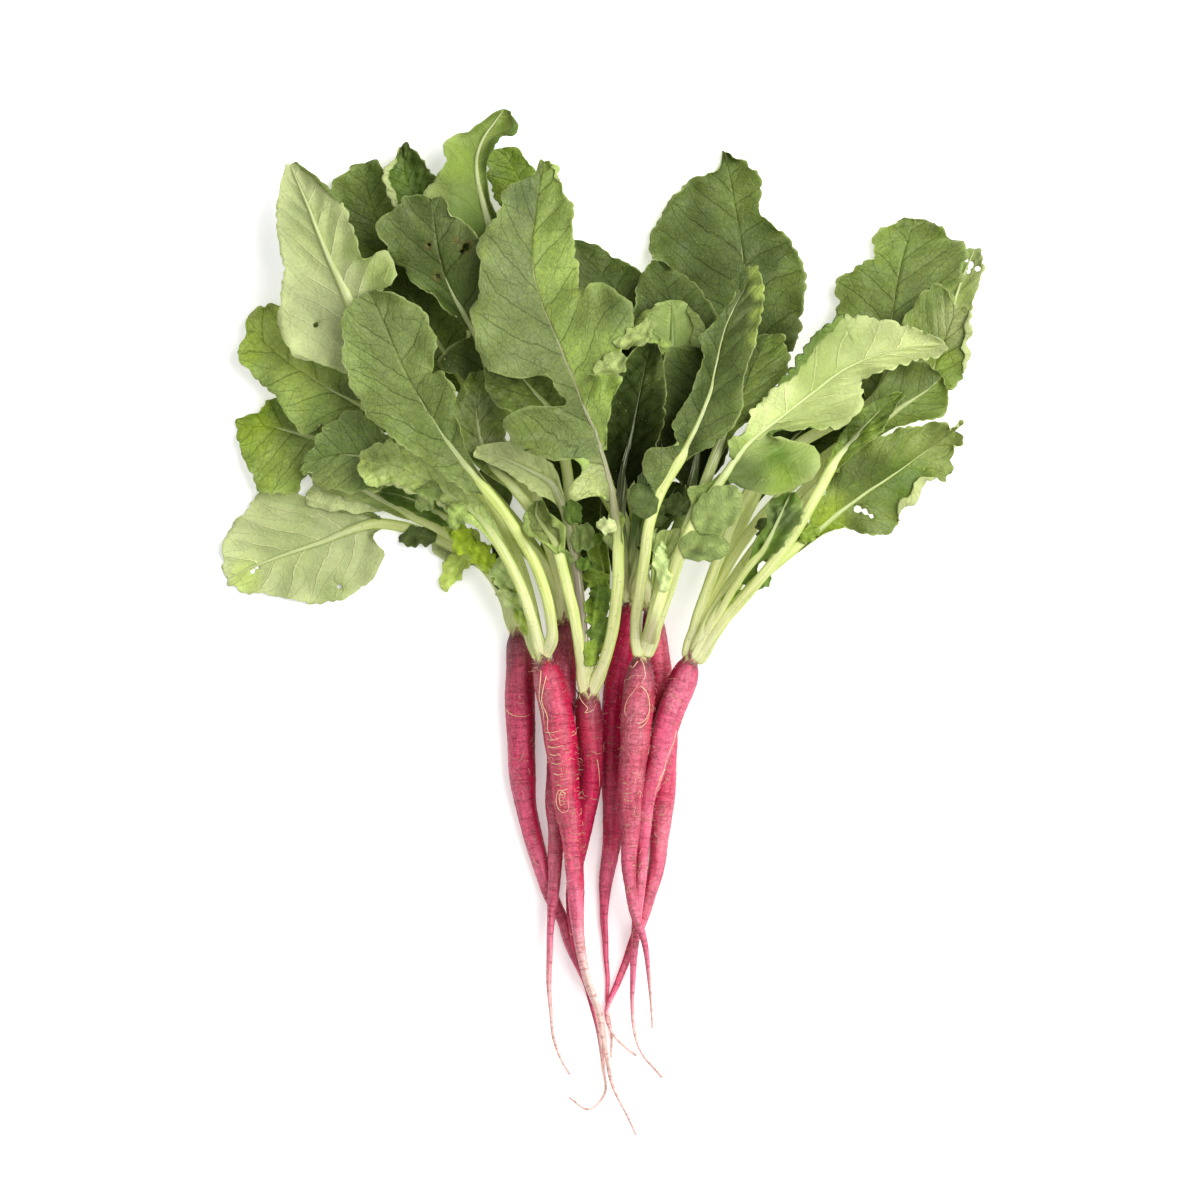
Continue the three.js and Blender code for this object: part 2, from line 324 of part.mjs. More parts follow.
    [[593, 690]], [[604, 662]], [[612, 632]], [[616, 600]], [[618, 572]], [[618, 549]],
    [[618, 541], [603, 541], [622, 537]], [[617, 531], [601, 530], [622, 528]],
    [[616, 523], [607, 524], [627, 521]], [[615, 513]], [[613, 500]],
    [[611, 489], [603, 494], _], [[609, 480], [579, 502], _], [[607, 472], [562, 495], _],
    [[605, 464], [580, 477], _], [[603, 457]],
    [[601, 451], [582, 458], _], [[600, 446], [542, 465], [607, 441]],
    [[598, 440], [509, 446], [606, 431]], [[596, 433], [502, 426], [610, 420]],
    [[593, 427], [506, 409], [607, 405]], [[590, 421], [545, 407], [619, 387]],
    [[587, 415], [573, 411], [629, 376]], [[584, 408], [570, 405], [612, 372]],
    [[581, 400], [563, 398], [592, 378]], [[577, 389], [556, 387], [586, 376]],
    [[573, 379], [552, 378], [603, 371]], [[569, 370], [540, 374], [618, 361]],
    [[565, 361], [512, 377], [626, 345]], [[561, 350], [488, 372], [635, 323]],
    [[557, 341], [480, 354], [632, 305]], [[553, 332], [474, 326], [620, 296]],
    [[549, 322], [469, 310], [598, 280]], [[544, 311], [477, 301], [577, 294]],
    [[540, 300], [482, 285], [577, 284]], [[536, 287], [480, 262], [579, 274]],
    [[533, 272], [478, 248], [577, 262]], [[532, 256], [483, 232], [572, 242]],
    [[532, 241], [497, 221], [571, 222]], [[534, 226], [501, 200], [573, 207]],
    [[536, 211], [508, 187], [563, 192]], [[538, 196], [522, 179], [558, 180]],
    [[540, 181], [535, 175], [560, 169]], [[543, 167], [539, 161], [550, 163]]] },
];

// ---------- layout ----------

const plan = ([x, y]) => new THREE.Vector2((x - gridCentre.x) * gridPitch, (gridCentre.y - y) * gridPitch);

const mix = THREE.MathUtils.lerp;

// Turned a quarter to the left of where it points.
const leftOf = (direction) => new THREE.Vector2(-direction.y, direction.x);

// ---------- height map of the pile ----------

const mapSize = {
  x: Math.round((2 * mapReach.x) / cellSize),
  y: Math.round((2 * mapReach.y) / cellSize),
};
const newMap = () => new Float32Array(mapSize.x * mapSize.y);
const rootMaps = {};                     // one map for each root, so that a stalk can ignore its own
const leafMap = newMap();

const cellIndex = (column, row) => row * mapSize.x + column;
const columnOf = (x) => Math.floor((x + mapReach.x) / cellSize);
const rowOf = (y) => Math.floor((y + mapReach.y) / cellSize);
const centreX = (column) => (column + 0.5) * cellSize - mapReach.x;
const centreY = (row) => (row + 0.5) * cellSize - mapReach.y;

function visitCells(low, high, visit) {
  const firstColumn = Math.max(columnOf(low.x), 0);
  const lastColumn = Math.min(columnOf(high.x), mapSize.x - 1);
  const firstRow = Math.max(rowOf(low.y), 0);
  const lastRow = Math.min(rowOf(high.y), mapSize.y - 1);
  for (let row = firstRow; row <= lastRow; row += 1) {
    for (let column = firstColumn; column <= lastColumn; column += 1) {
      visit(cellIndex(column, row), centreX(column), centreY(row));
    }
  }
}

// Calls visit for each cell that a triangle of the plan covers or touches.
function visitTriangle(corners, visit) {
  const reach = cellSize * 0.75;
  const low = new THREE.Vector2(Math.min(...corners.map((c) => c.x)), Math.min(...corners.map((c) => c.y)));
  const high = new THREE.Vector2(Math.max(...corners.map((c) => c.x)), Math.max(...corners.map((c) => c.y)));
  const edges = corners.map((from, k) => {
    const to = corners[(k + 1) % 3];
    const length = Math.hypot(to.x - from.x, to.y - from.y) || 1;
    return { from, nx: -(to.y - from.y) / length, ny: (to.x - from.x) / length };
  });
  const inward = ({ from, nx, ny }, x, y) => nx * (x - from.x) + ny * (y - from.y);
  const side = Math.sign(inward(edges[0], corners[2].x, corners[2].y)) || 1;
  visitCells(low.subScalar(reach), high.addScalar(reach), (cell, x, y) => {
    if (edges.every((edge) => side * inward(edge, x, y) >= -reach)) visit(cell, x, y);
  });
}

// The highest thing already lying in a cell, other than the plant's own root.
function heightUnder(cell, plant) {
  let height = leafMap[cell];
  for (const [owner, map] of Object.entries(rootMaps)) {
    if (owner !== plant) height = Math.max(height, map[cell]);
  }
  return height;
}

// Marks a triangle of a top surface in the map of leaves.
function raiseMap(corners) {
  const [a, b, c] = corners;
  const det = (b.x - a.x) * (c.y - a.y) - (c.x - a.x) * (b.y - a.y);
  const slopeX = det ? ((b.z - a.z) * (c.y - a.y) - (c.z - a.z) * (b.y - a.y)) / det : 0;
  const slopeY = det ? ((c.z - a.z) * (b.x - a.x) - (b.z - a.z) * (c.x - a.x)) / det : 0;
  const highest = Math.max(a.z, b.z, c.z);
  const spread = (Math.abs(slopeX) + Math.abs(slopeY)) * cellSize * 0.5;
  visitTriangle(corners, (cell, x, y) => {
    const height = a.z + slopeX * (x - a.x) + slopeY * (y - a.y) + spread;
    leafMap[cell] = Math.max(leafMap[cell], Math.min(height, highest));
  });
}

// ---------- closed meshes ----------

function closedMesh(name, positions, triangles, material) {
  const geometry = new THREE.BufferGeometry();
  geometry.setAttribute('position', new THREE.Float32BufferAttribute(positions.flat(), 3));
  geometry.setIndex(triangles.flat());
  geometry.computeVertexNormals();
  const mesh = new THREE.Mesh(geometry, material);
  mesh.name = name;
  return mesh;
}

// ---------- roots ----------

const rootSkin = new THREE.MeshStandardMaterial({ color: 0xb01f55, roughness: 0.45, metalness: 0 });

// Steps between two stations, so that nothing is missed where stations are far apart.
function finely(stations, visit) {
  const steps = 6;
  for (let k = 0; k + 1 < stations.length; k += 1) {
    for (let step = 0; step <= steps; step += 1) {
      const t = step / steps;
      const at = stations[k].centre.clone().lerp(stations[k + 1].centre, t);
      visit(k, t, at, mix(stations[k].radius, stations[k + 1].radius, t));
    }
  }
}

function layRoot({ plant, stations }) {
  const flat = Math.cos(Math.PI / rootSides);
  const line = stations.map(([x, y, radius]) => ({
    centre: plan([x, y]),
    radius: Math.max(radius * gridPitch, thinnestRoot),
  }));

  const rest = line.map(({ radius }) => radius * flat);
  finely(line, (k, t, at, radius) => {
    const reach = radius + clearance;
    visitCells(at.clone().subScalar(reach), at.clone().addScalar(reach), (cell, x, y) => {
      const away = Math.hypot(x - at.x, y - at.y);
      const below = heightUnder(cell, plant);
      if (away > reach || below <= 0) return;
      const needed = below + Math.sqrt(reach * reach - away * away) + clearance;
      rest[k] = Math.max(rest[k], needed);
      rest[k + 1] = Math.max(rest[k + 1], needed);
    });
  });

  const height = [...rest];
  const last = height.length - 1;
  for (let round = 0; round < settleRounds; round += 1) {
    for (let k = 1; k < last; k += 1) {
      height[k] = Math.max(rest[k], (height[k - 1] + height[k + 1]) / 2 - stalkSag);
    }
    height[0] = Math.max(rest[0], height[1] - stalkSag);
  }

  rootMaps[plant] = newMap();
  finely(line, (k, t, at, radius) => {
    const top = mix(height[k], height[k + 1], t);
    const reach = radius + cellSize * 0.5;
    visitCells(at.clone().subScalar(reach), at.clone().addScalar(reach), (cell, x, y) => {
      const away = Math.hypot(x - at.x, y - at.y);
      if (away > reach) return;
      const raised = top + Math.sqrt(reach * reach - away * away);
      rootMaps[plant][cell] = Math.max(rootMaps[plant][cell], raised);
    });
  });

  return line.map((station, k) => ({ ...station, height: height[k] }));
}

function rootMesh(plant, line) {
  const positions = [];
  const triangles = [];
  const ring = (k, side) => k * rootSides + ((side + rootSides) % rootSides);
  line.forEach(({ centre, radius, height }, k) => {
    const before = line[Math.max(k - 1, 0)].centre;
    const after = line[Math.min(k + 1, line.length - 1)].centre;
    const across = leftOf(after.clone().sub(before).normalize());
    for (let side = 0; side < rootSides; side += 1) {
      const angle = ((side + 0.5) * 2 * Math.PI) / rootSides - Math.PI / 2;
      const out = Math.cos(angle) * radius;
      const z = Math.max(height + Math.sin(angle) * radius, 0);
      positions.push([centre.x + across.x * out, centre.y + across.y * out, z]);
    }
  });
  for (let k = 0; k + 1 < line.length; k += 1) {
    for (let side = 0; side < rootSides; side += 1) {
      triangles.push([ring(k, side), ring(k, side + 1), ring(k + 1, side)]);
      triangles.push([ring(k, side + 1), ring(k + 1, side + 1), ring(k + 1, side)]);
    }
  }
  for (const end of [0, line.length - 1]) {
    const middle = positions.length;
    positions.push([line[end].centre.x, line[end].centre.y, line[end].height]);
    for (let side = 0; side < rootSides; side += 1) {
      const edge = [ring(end, side), ring(end, side + 1)];
      triangles.push(end === 0 ? [middle, ...edge.reverse()] : [middle, ...edge]);
    }
  }
  return closedMesh(`root_${plant}`, positions, triangles, rootSkin);
}

// ---------- leaves ----------

const faceColours = { upper: 0x6f9440, under: 0xafc37c };
const across = 5;                        // points in a row: edge, crease, rib, crease, edge

// Where the points of each row lie in plan, and how wide the stalk or rib is there.
function leafRows({ plant, rows, stalk = stalkWidth }) {
  const ribs = rows.map(([rib]) => plan(rib));
  const firstBlade = rows.findIndex(([, left, right]) => left && right);
  const crown = roots.find((root) => root.plant === plant).stations;
  return rows.map(([, left, right], i) => {
    const rib = ribs[i];
    const next = ribs[Math.min(i + 1, ribs.length - 1)];
    const heading = i === 0 ? plan(crown[0]).sub(plan(crown[1])) : next.clone().sub(ribs[i - 1]);
    const bladePart = THREE.MathUtils.clamp((i - firstBlade + 1) / (rows.length - firstBlade), 0, 1);
    const width = mix(stalk, ribTipWidth, bladePart) * (i === 0 ? 0.8 : 1);
    const side = leftOf(heading.normalize()).multiplyScalar(width / 2);
    const leftEdge = left ? plan(left) : rib.clone().add(side);
    const rightEdge = right ? plan(right) : rib.clone().sub(side);
    const bare = !left && !right;
    const leftFold = rib.clone().lerp(leftEdge, left ? foldPlace : stalkShoulder);
    const rightFold = rib.clone().lerp(rightEdge, right ? foldPlace : stalkShoulder);
    const height = i === 0 ? stalkBaseHeight : width * stalkHeightRatio;
    return { points: [leftEdge, leftFold, rib, rightFold, rightEdge], sides: [left, right], bare, height };
  });
}

// Splits each four-sided patch along the diagonal that leaves the fuller triangles.
function planTriangles(rows) {
  const triangles = [];
  const area = (a, b, c) => (b.x - a.x) * (c.y - a.y) - (c.x - a.x) * (b.y - a.y);
  for (let i = 0; i + 1 < rows.length; i += 1) {
    for (let j = 0; j + 1 < across; j += 1) {
      const keys = [[i, j], [i, j + 1], [i + 1, j + 1], [i + 1, j]];
      const [a, b, c, d] = keys.map(([row, column]) => rows[row].points[column]);
      const oneWay = Math.min(area(a, b, c), area(a, c, d));
      const otherWay = Math.min(area(a, b, d), area(b, c, d));
      const [p, q, r, s] = keys;
      triangles.push(...(oneWay >= otherWay ? [[p, q, r], [p, r, s]] : [[p, q, s], [q, r, s]]));
    }
  }
  return triangles;
}

// The height of each point of the leaf's lower face, laid on what is already there.
function layLeaf({ plant }, rows, triangles, crownHeight) {
  const need = rows.map(() => new Array(across).fill(0));
  for (const triangle of triangles) {
    let highest = 0;
    visitTriangle(triangle.map(([i, j]) => rows[i].points[j]), (cell) => {
      highest = Math.max(highest, heightUnder(cell, plant));
    });
    for (const [i, j] of triangle) need[i][j] = Math.max(need[i][j], highest ? highest + clearance : 0);
  }
  rows.forEach(({ bare }, i) => {
    if (bare) need[i].fill(Math.max(...need[i]));
  });
  need[0].fill(Math.max(need[0][0], crownHeight));

  const sheet = need.map((row) => [...row]);
  const last = rows.length - 1;
  for (let round = 0; round < settleRounds; round += 1) {
    for (let i = 1; i <= last; i += 1) {
      const ahead = sheet[Math.min(i + 1, last)];
      for (let j = 0; j < across; j += 1) {
        const toLeft = sheet[i][Math.max(j - 1, 0)];
        const toRight = sheet[i][Math.min(j + 1, across - 1)];
        const around = (sheet[i - 1][j] + ahead[j] + (toLeft + toRight) / 2) / 3;
        const sag = rows[i].bare ? stalkSag : bladeSag;
        sheet[i][j] = Math.max(need[i][j], around - sag);
      }
      if (rows[i].bare) sheet[i].fill(Math.max(...sheet[i]));
    }
  }
  return sheet;
}

// Lower and upper height of each point: stalks are oval, blades thin, creased and waved at the edge.
function leafFaces({ face, arch, edgeLift, ripple, name }, rows, sheet) {
  const phase = name.charCodeAt(5) + 2.1 * name.charCodeAt(6);
  const last = rows.length - 1;
  return rows.map(({ sides, height }, i) => {
    const rise = arch * Math.sin((Math.PI * i) / last);
    return sheet[i].map((bed, j) => {
      const isRib = j === 2;
      const isEdge = j === 0 || j === across - 1;
      const blade = j < 2 ? sides[0] : sides[1];
      const lower = bed + rise;
      if (isRib) return [lower, lower + Math.max(height, bladeThickness)];
      if (!blade) {
        const share = isEdge ? 0.36 : 0.12;
        return [lower + share * height, lower + (1 - share) * height];
      }
      const wave = isEdge ? edgeLift + ripple * (0.5 + 0.5 * Math.sin(phase + 2.3 * i + j)) : 0;
      const seat = face === 'under' ? 0.1 : Math.max(height - bladeThickness, 0) * 0.6 + 0.2;
      return [lower + seat + wave, lower + seat + wave + bladeThickness];
    });
  });
}

function raiseLeaf(rows, triangles, faces) {
  for (const triangle of triangles) {
    raiseMap(triangle.map(([i, j]) => {
      const { x, y } = rows[i].points[j];
      return { x, y, z: faces[i][j][1] };
    }));
  }
}

function leafMesh(leaf, rows, triangles, faces) {
  const positions = [];
  const index = (i, j, upper) => 2 * (i * across + j) + (upper ? 1 : 0);
  rows.forEach(({ points }, i) => points.forEach(({ x, y }, j) => {
    positions.push([x, y, faces[i][j][0]], [x, y, faces[i][j][1]]);
  }));

  const solid = [];
  for (const [p, q, r] of triangles) {
    solid.push([index(...p, true), index(...q, true), index(...r, true)]);
    solid.push([index(...p, false), index(...r, false), index(...q, false)]);
  }
  const wall = (from, to) => {
    solid.push([index(...from, false), index(...to, false), index(...to, true)]);
    solid.push([index(...from, false), index(...to, true), index(...from, true)]);
  };
  const last = rows.length - 1;
  for (let i = 0; i < last; i += 1) {
    wall([i + 1, 0], [i, 0]);
    wall([i, across - 1], [i + 1, across - 1]);
  }
  for (let j = 0; j + 1 < across; j += 1) {
    wall([0, j], [0, j + 1]);
    wall([last, j + 1], [last, j]);
  }

  const color = faceColours[leaf.face];
  const material = new THREE.MeshStandardMaterial({ color, roughness: 0.6, metalness: 0 });
  return closedMesh(leaf.name, positions, solid, material);
}

// ---------- the bunch ----------

const bunch = new THREE.Group();
const crownHeights = {};

for (const root of roots) {
  const line = layRoot(root);
  crownHeights[root.plant] = line[0].height - 0.85 * line[0].radius;
  bunch.add(rootMesh(root.plant, line));
}

for (const leaf of leaves) {
  const rows = leafRows(leaf);
  const triangles = planTriangles(rows);
  const sheet = layLeaf(leaf, rows, triangles, crownHeights[leaf.plant]);
  const faces = leafFaces(leaf, rows, sheet);
  raiseLeaf(rows, triangles, faces);
  bunch.add(leafMesh(leaf, rows, triangles, faces));
}

export default bunch;
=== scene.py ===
# A bunch of long red radishes on a pale table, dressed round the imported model.
# Lengths are in metres unless a name says mm, and mm() turns millimetres into them.

import math

import bpy
import numpy as np
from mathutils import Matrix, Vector
from mathutils.bvhtree import BVHTree


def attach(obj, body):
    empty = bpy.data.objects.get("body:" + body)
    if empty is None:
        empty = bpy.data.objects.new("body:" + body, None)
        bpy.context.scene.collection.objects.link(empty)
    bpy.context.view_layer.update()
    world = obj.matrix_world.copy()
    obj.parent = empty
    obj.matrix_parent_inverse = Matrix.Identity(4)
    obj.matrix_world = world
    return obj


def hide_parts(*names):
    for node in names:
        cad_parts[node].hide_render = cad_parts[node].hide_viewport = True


def mm(length):
    return length * 0.001


def tone(red, green, blue):
    # a screen colour from 0 to 255, as the linear colour that shaders use
    steps = (np.array([red, green, blue]) / 255 + 0.055) / 1.055
    return steps ** 2.4


def smooth(low, high, value):
    part = np.clip((value - low) / (high - low), 0, 1)
    return part * part * (3 - 2 * part)


def blend(first, second, part):
    return first + (second - first) * part


def waves(seed, x, y, size, count=7):
    # soft seeded noise between about -1 and 1: a few crossing sine waves
    draw = np.random.default_rng(seed)
    total = np.zeros(np.broadcast(x, y).shape)
    for _ in range(count):
        turn = draw.uniform(0, 2 * math.pi)
        wave = 2 * math.pi / (size * draw.uniform(0.7, 1.5))
        total += np.sin(wave * (x * math.cos(turn) + y * math.sin(turn)) + draw.uniform(0, 6.28))
    return total / math.sqrt(count)


def throughKnots(at, knots, values, rounded=1.0):
    # a smooth line through the values at the knots, which doesn't overshoot between them
    gaps = np.diff(knots)
    values = np.asarray(values, float)
    slopes = np.diff(values, axis=0) / gaps.reshape(-1, *[1] * (values.ndim - 1))
    before, after = slopes[:-1], slopes[1:]
    left = gaps[:-1].reshape(-1, *[1] * (values.ndim - 1))
    right = gaps[1:].reshape(-1, *[1] * (values.ndim - 1))
    free = (right * before + left * after) / (left + right)
    same = np.where(before * after > 0, 1.0, 0.0)
    least = np.minimum(np.abs(before), np.abs(after)) * 3
    held = same * np.sign(free) * np.minimum(np.abs(free), least)
    inner = blend(free, held, rounded)
    tangents = np.concatenate([slopes[:1], inner, slopes[-1:]])
    k = np.clip(np.searchsorted(knots, at, side="right") - 1, 0, len(gaps) - 1)
    gap = gaps[k]
    t = np.clip((at - knots[k]) / gap, 0, 1)
    shape = (-1,) + (1,) * (values.ndim - 1)
    t, gap = t.reshape(shape), gap.reshape(shape)
    ends = (2 * t**3 - 3 * t**2 + 1) * values[k] + (3 * t**2 - 2 * t**3) * values[k + 1]
    return ends + (t**3 - 2 * t**2 + t) * gap * tangents[k] + (t**3 - t**2) * gap * tangents[k + 1]


def lengthsAlong(points):
    steps = np.linalg.norm(np.diff(points, axis=0), axis=1)
    return np.concatenate([[0.0], np.cumsum(steps)])


def unit(vectors):
    return vectors / np.maximum(np.linalg.norm(vectors, axis=-1), 1e-9)[..., None]


def pointAt(distance, steps, line):
    return np.array([np.interp(distance, steps, line[:, k]) for k in range(3)])


def anglesRound(sides):
    return np.arange(sides) * 2 * math.pi / sides


def distanceFrom(points, x, y):
    # how far each point is from a place on the table, given in mm
    return np.linalg.norm(points[..., :2] - np.array([mm(x), mm(y)]), axis=2)


def newObject(name, data):
    made = bpy.data.objects.new(name, data)
    bpy.context.scene.collection.objects.link(made)
    return made


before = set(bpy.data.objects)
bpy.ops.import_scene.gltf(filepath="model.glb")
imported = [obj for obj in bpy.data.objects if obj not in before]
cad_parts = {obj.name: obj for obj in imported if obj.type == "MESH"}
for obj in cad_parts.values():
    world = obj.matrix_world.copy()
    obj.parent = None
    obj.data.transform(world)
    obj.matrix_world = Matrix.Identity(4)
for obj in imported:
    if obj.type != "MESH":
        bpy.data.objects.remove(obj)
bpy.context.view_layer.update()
print("frame loaded:", len(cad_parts), "nodes")


# ---- camera, light and table ----

studio = {
    "lookAt": (mm(-0.9), mm(12.15)),     # middle of the view on the table
    "viewWidth": mm(540),                # what the camera takes in, at the height of the leaves
    "leafHeight": mm(35),
    "cameraHeight": 6.0,
    "sensorWidth": 36,                   # in mm, as the camera takes it
    "tableSize": 12.0,
    "tableColour": (0.93, 0.93, 0.925),
    "tableGlow": 0.36,
    "skyStrength": 0.34,
    "keyPlace": (1.25, 0.5, 1.7),
    "keyPower": 68.0,
    "keySize": 1.9,
    "fillPlace": (-1.3, -0.2, 2.0),
    "fillPower": 12.0,
    "fillSize": 2.2,
}


def makeCamera():
    data = bpy.data.cameras.new("overheadCamera")
    data.sensor_width = studio["sensorWidth"]
    distance = studio["cameraHeight"] - studio["leafHeight"]
    data.lens = studio["sensorWidth"] * distance / studio["viewWidth"]
    data.clip_start = 0.1
    data.clip_end = 60
    camera = newObject("overheadCamera", data)
    camera.location = (*studio["lookAt"], studio["cameraHeight"])
    bpy.context.scene.camera = camera


def makeSoftbox(name, place, size, power):
    data = bpy.data.lights.new(name, "AREA")
    data.shape = "SQUARE"
    data.size = size
    data.energy = power
    light = newObject(name, data)
    light.location = place
    light.rotation_mode = "QUATERNION"
    light.rotation_quaternion = Vector(place).to_track_quat("Z", "Y")


def makeTable():
    half = studio["tableSize"] / 2
    mesh = bpy.data.meshes.new("table")
    corners = [(-half, -half, 0), (half, -half, 0), (half, half, 0), (-half, half, 0)]
    mesh.from_pydata(corners, [], [(0, 1, 2, 3)])
    material = bpy.data.materials.new("paleTable")
    material.use_nodes = True
    surface = material.node_tree.nodes["Principled BSDF"].inputs
    surface["Base Color"].default_value = (*studio["tableColour"], 1)
    surface["Roughness"].default_value = 0.75
    surface["Emission Color"].default_value = (1.0, 1.0, 1.0, 1)
    surface["Emission Strength"].default_value = studio["tableGlow"]
    mesh.materials.append(material)
    table = newObject("table", mesh)


def makeStudio():
    world = bpy.data.worlds.new("studioSky")
    world.use_nodes = True
    background = world.node_tree.nodes["Background"].inputs
    background["Color"].default_value = (1.0, 1.0, 1.0, 1)
    background["Strength"].default_value = studio["skyStrength"]
    bpy.context.scene.world = world
    bpy.context.scene.view_settings.view_transform = "Standard"
    makeSoftbox("keySoftbox", studio["keyPlace"], studio["keySize"], studio["keyPower"])
    makeSoftbox("fillSoftbox", studio["fillPlace"], studio["fillSize"], studio["fillPower"])
    makeTable()
    makeCamera()


makeStudio()
print("studio ready")


# ---- shader helpers ----


def feed(tree, socket, value):
    if isinstance(value, bpy.types.NodeSocket):
        tree.links.new(value, socket)
    elif socket.type == "RGBA":
        socket.default_value = (*value, 1)
    else:
        socket.default_value = value


def calc(tree, operation, *values):
    made = tree.nodes.new("ShaderNodeMath")
    made.operation = operation
    for socket, value in zip(made.inputs, values):
        feed(tree, socket, value)
    return made.outputs[0]


def times(tree, first, second):
    return calc(tree, "MULTIPLY", first, second)


def plus(tree, first, second):
    return calc(tree, "ADD", first, second)


def ramp(tree, value, low, high, start=0.0, end=1.0):
    made = tree.nodes.new("ShaderNodeMapRange")
    made.interpolation_type = "SMOOTHSTEP"
    given = {"Value": value, "From Min": low, "From Max": high, "To Min": start, "To Max": end}
    for name, number in given.items():
        feed(tree, made.inputs[name], number)
    return made.outputs["Result"]


def mixed(tree, part, first, second, mode="MIX"):
    made = tree.nodes.new("ShaderNodeMix")
    made.data_type = "RGBA"
    made.blend_type = mode
    feed(tree, made.inputs[0], part)
    feed(tree, made.inputs[6], first)
    feed(tree, made.inputs[7], second)
    return made.outputs[2]


def multiplied(tree, base, factor):
    return mixed(tree, 1.0, base, factor, "MULTIPLY")


def tinted(tree, part, base, factor):
    # multiplies a colour by another one, as far as the part says
    return mixed(tree, part, base, multiplied(tree, base, factor))


def noiseOf(tree, place, scale, detail=3.0, roughness=0.55):
    made = tree.nodes.new("ShaderNodeTexNoise")
    feed(tree, made.inputs["Vector"], place)
    feed(tree, made.inputs["Scale"], scale)
    feed(tree, made.inputs["Detail"], detail)
    feed(tree, made.inputs["Roughness"], roughness)
    return made.outputs["Fac"]


def cellsOf(tree, place, scale, feature):
    made = tree.nodes.new("ShaderNodeTexVoronoi")
    made.feature = feature
    feed(tree, made.inputs["Vector"], place)
    feed(tree, made.inputs["Scale"], scale)
    return made.outputs["Distance"]


def named(tree, name, output):
    made = tree.nodes.new("ShaderNodeAttribute")
    made.attribute_name = name
    return made.outputs[output]


def objectPlace(tree):
    return tree.nodes.new("ShaderNodeTexCoord").outputs["Object"]


def flatPlace(tree, across, along, scaleAcross=1.0, scaleAlong=1.0):
    made = tree.nodes.new("ShaderNodeCombineXYZ")
    feed(tree, made.inputs["X"], times(tree, across, scaleAcross))
    feed(tree, made.inputs["Y"], times(tree, along, scaleAlong))
    return made.outputs["Vector"]


def skinPlace(tree):
    # where a point is on its own skin, in centimetres across and along it
    made = tree.nodes.new("ShaderNodeUVMap")
    made.uv_map = "skin"
    parts = tree.nodes.new("ShaderNodeSeparateXYZ")
    tree.links.new(made.outputs["UV"], parts.inputs["Vector"])
    return parts.outputs["X"], parts.outputs["Y"]


def newGroup(name, inputs, outputs):
    group = bpy.data.node_groups.new(name, "ShaderNodeTree")
    for label, default in inputs.items():
        socket = group.interface.new_socket(label, in_out="INPUT", socket_type="NodeSocketFloat")
        socket.default_value = default
    for label in outputs:
        group.interface.new_socket(label, in_out="OUTPUT", socket_type="NodeSocketFloat")
    return group, group.nodes.new("NodeGroupInput").outputs, group.nodes.new("NodeGroupOutput").inputs


def useGroup(tree, group, **values):
    made = tree.nodes.new("ShaderNodeGroup")
    made.node_tree = group
    for name, value in values.items():
        feed(tree, made.inputs[name], value)
    return made.outputs


def lineWhereWhole(tree, turns, thin, near, far, strength):
    # a line wherever the turns pass a whole number
    away = calc(tree, "DIVIDE", calc(tree, "PINGPONG", turns, 0.5), thin)
    return ramp(tree, away, near, far, strength, 0.0)


def makeVeinGroup():
    # side veins along whole numbers of the row attribute, their forks, and the net between them
    sizes = {"Width": 0.03, "Net": 2.1}
    group, inputs, outputs = newGroup("leafVeins", sizes, ("Vein", "Net", "Rib", "Dots"))
    across, along = skinPlace(group)
    away = calc(group, "ABSOLUTE", across)
    rim = named(group, "rim", "Fac")
    flat = flatPlace(group, across, along)
    wander = times(group, calc(group, "SUBTRACT", noiseOf(group, flat, 1.8, 2.0), 0.5), 0.24)
    turns = plus(group, named(group, "row", "Fac"), wander)
    thin = times(group, inputs["Width"], ramp(group, rim, 0.1, 0.9, 1.0, 0.45))
    main = lineWhereWhole(group, turns, thin, 0.6, 2.0, 1.0)
    fork = plus(group, turns, times(group, rim, -0.85))
    forkLine = lineWhereWhole(group, fork, thin, 0.4, 1.5, 0.7)
    forkLine = times(group, forkLine, ramp(group, rim, 0.3, 0.55))
    back = plus(group, turns, times(group, rim, 1.1))
    backLine = lineWhereWhole(group, back, thin, 0.3, 1.2, 0.5)
    backLine = times(group, backLine, ramp(group, rim, 0.2, 0.4))
    vein = calc(group, "MAXIMUM", main, calc(group, "MAXIMUM", forkLine, backLine))
    group.links.new(times(group, vein, ramp(group, rim, 0.88, 1.0, 1.0, 0.1)), outputs["Vein"])
    net = cellsOf(group, flat, inputs["Net"], "DISTANCE_TO_EDGE")
    fine = cellsOf(group, flat, times(group, inputs["Net"], 2.6), "DISTANCE_TO_EDGE")
    coarseLines = ramp(group, net, 0.0, 0.07, 1.0, 0.0)
    fineLines = ramp(group, fine, 0.0, 0.09, 0.45, 0.0)
    group.links.new(calc(group, "MAXIMUM", coarseLines, fineLines), outputs["Net"])
    group.links.new(ramp(group, away, 0.02, 0.12, 1.0, 0.0), outputs["Rib"])
    dots = ramp(group, cellsOf(group, flat, 5.5, "F1"), 0.05, 0.13, 1.0, 0.0)
    patch = ramp(group, noiseOf(group, flat, 0.8, 2.0), 0.47, 0.62)
    group.links.new(times(group, dots, patch), outputs["Dots"])
    return group


veinGroup = makeVeinGroup()


def newMaterial(name, roughness, subsurface=0.0, radius=(1.0, 1.0, 0.3), specular=0.5):
    material = bpy.data.materials.new(name)
    material.use_nodes = True
    tree = material.node_tree
    surface = tree.nodes["Principled BSDF"].inputs
    surface["Roughness"].default_value = roughness
    surface["Specular IOR Level"].default_value = specular
    surface["Subsurface Weight"].default_value = subsurface
    surface["Subsurface Radius"].default_value = radius
    surface["Subsurface Scale"].default_value = mm(1.2)
    return material, tree, surface


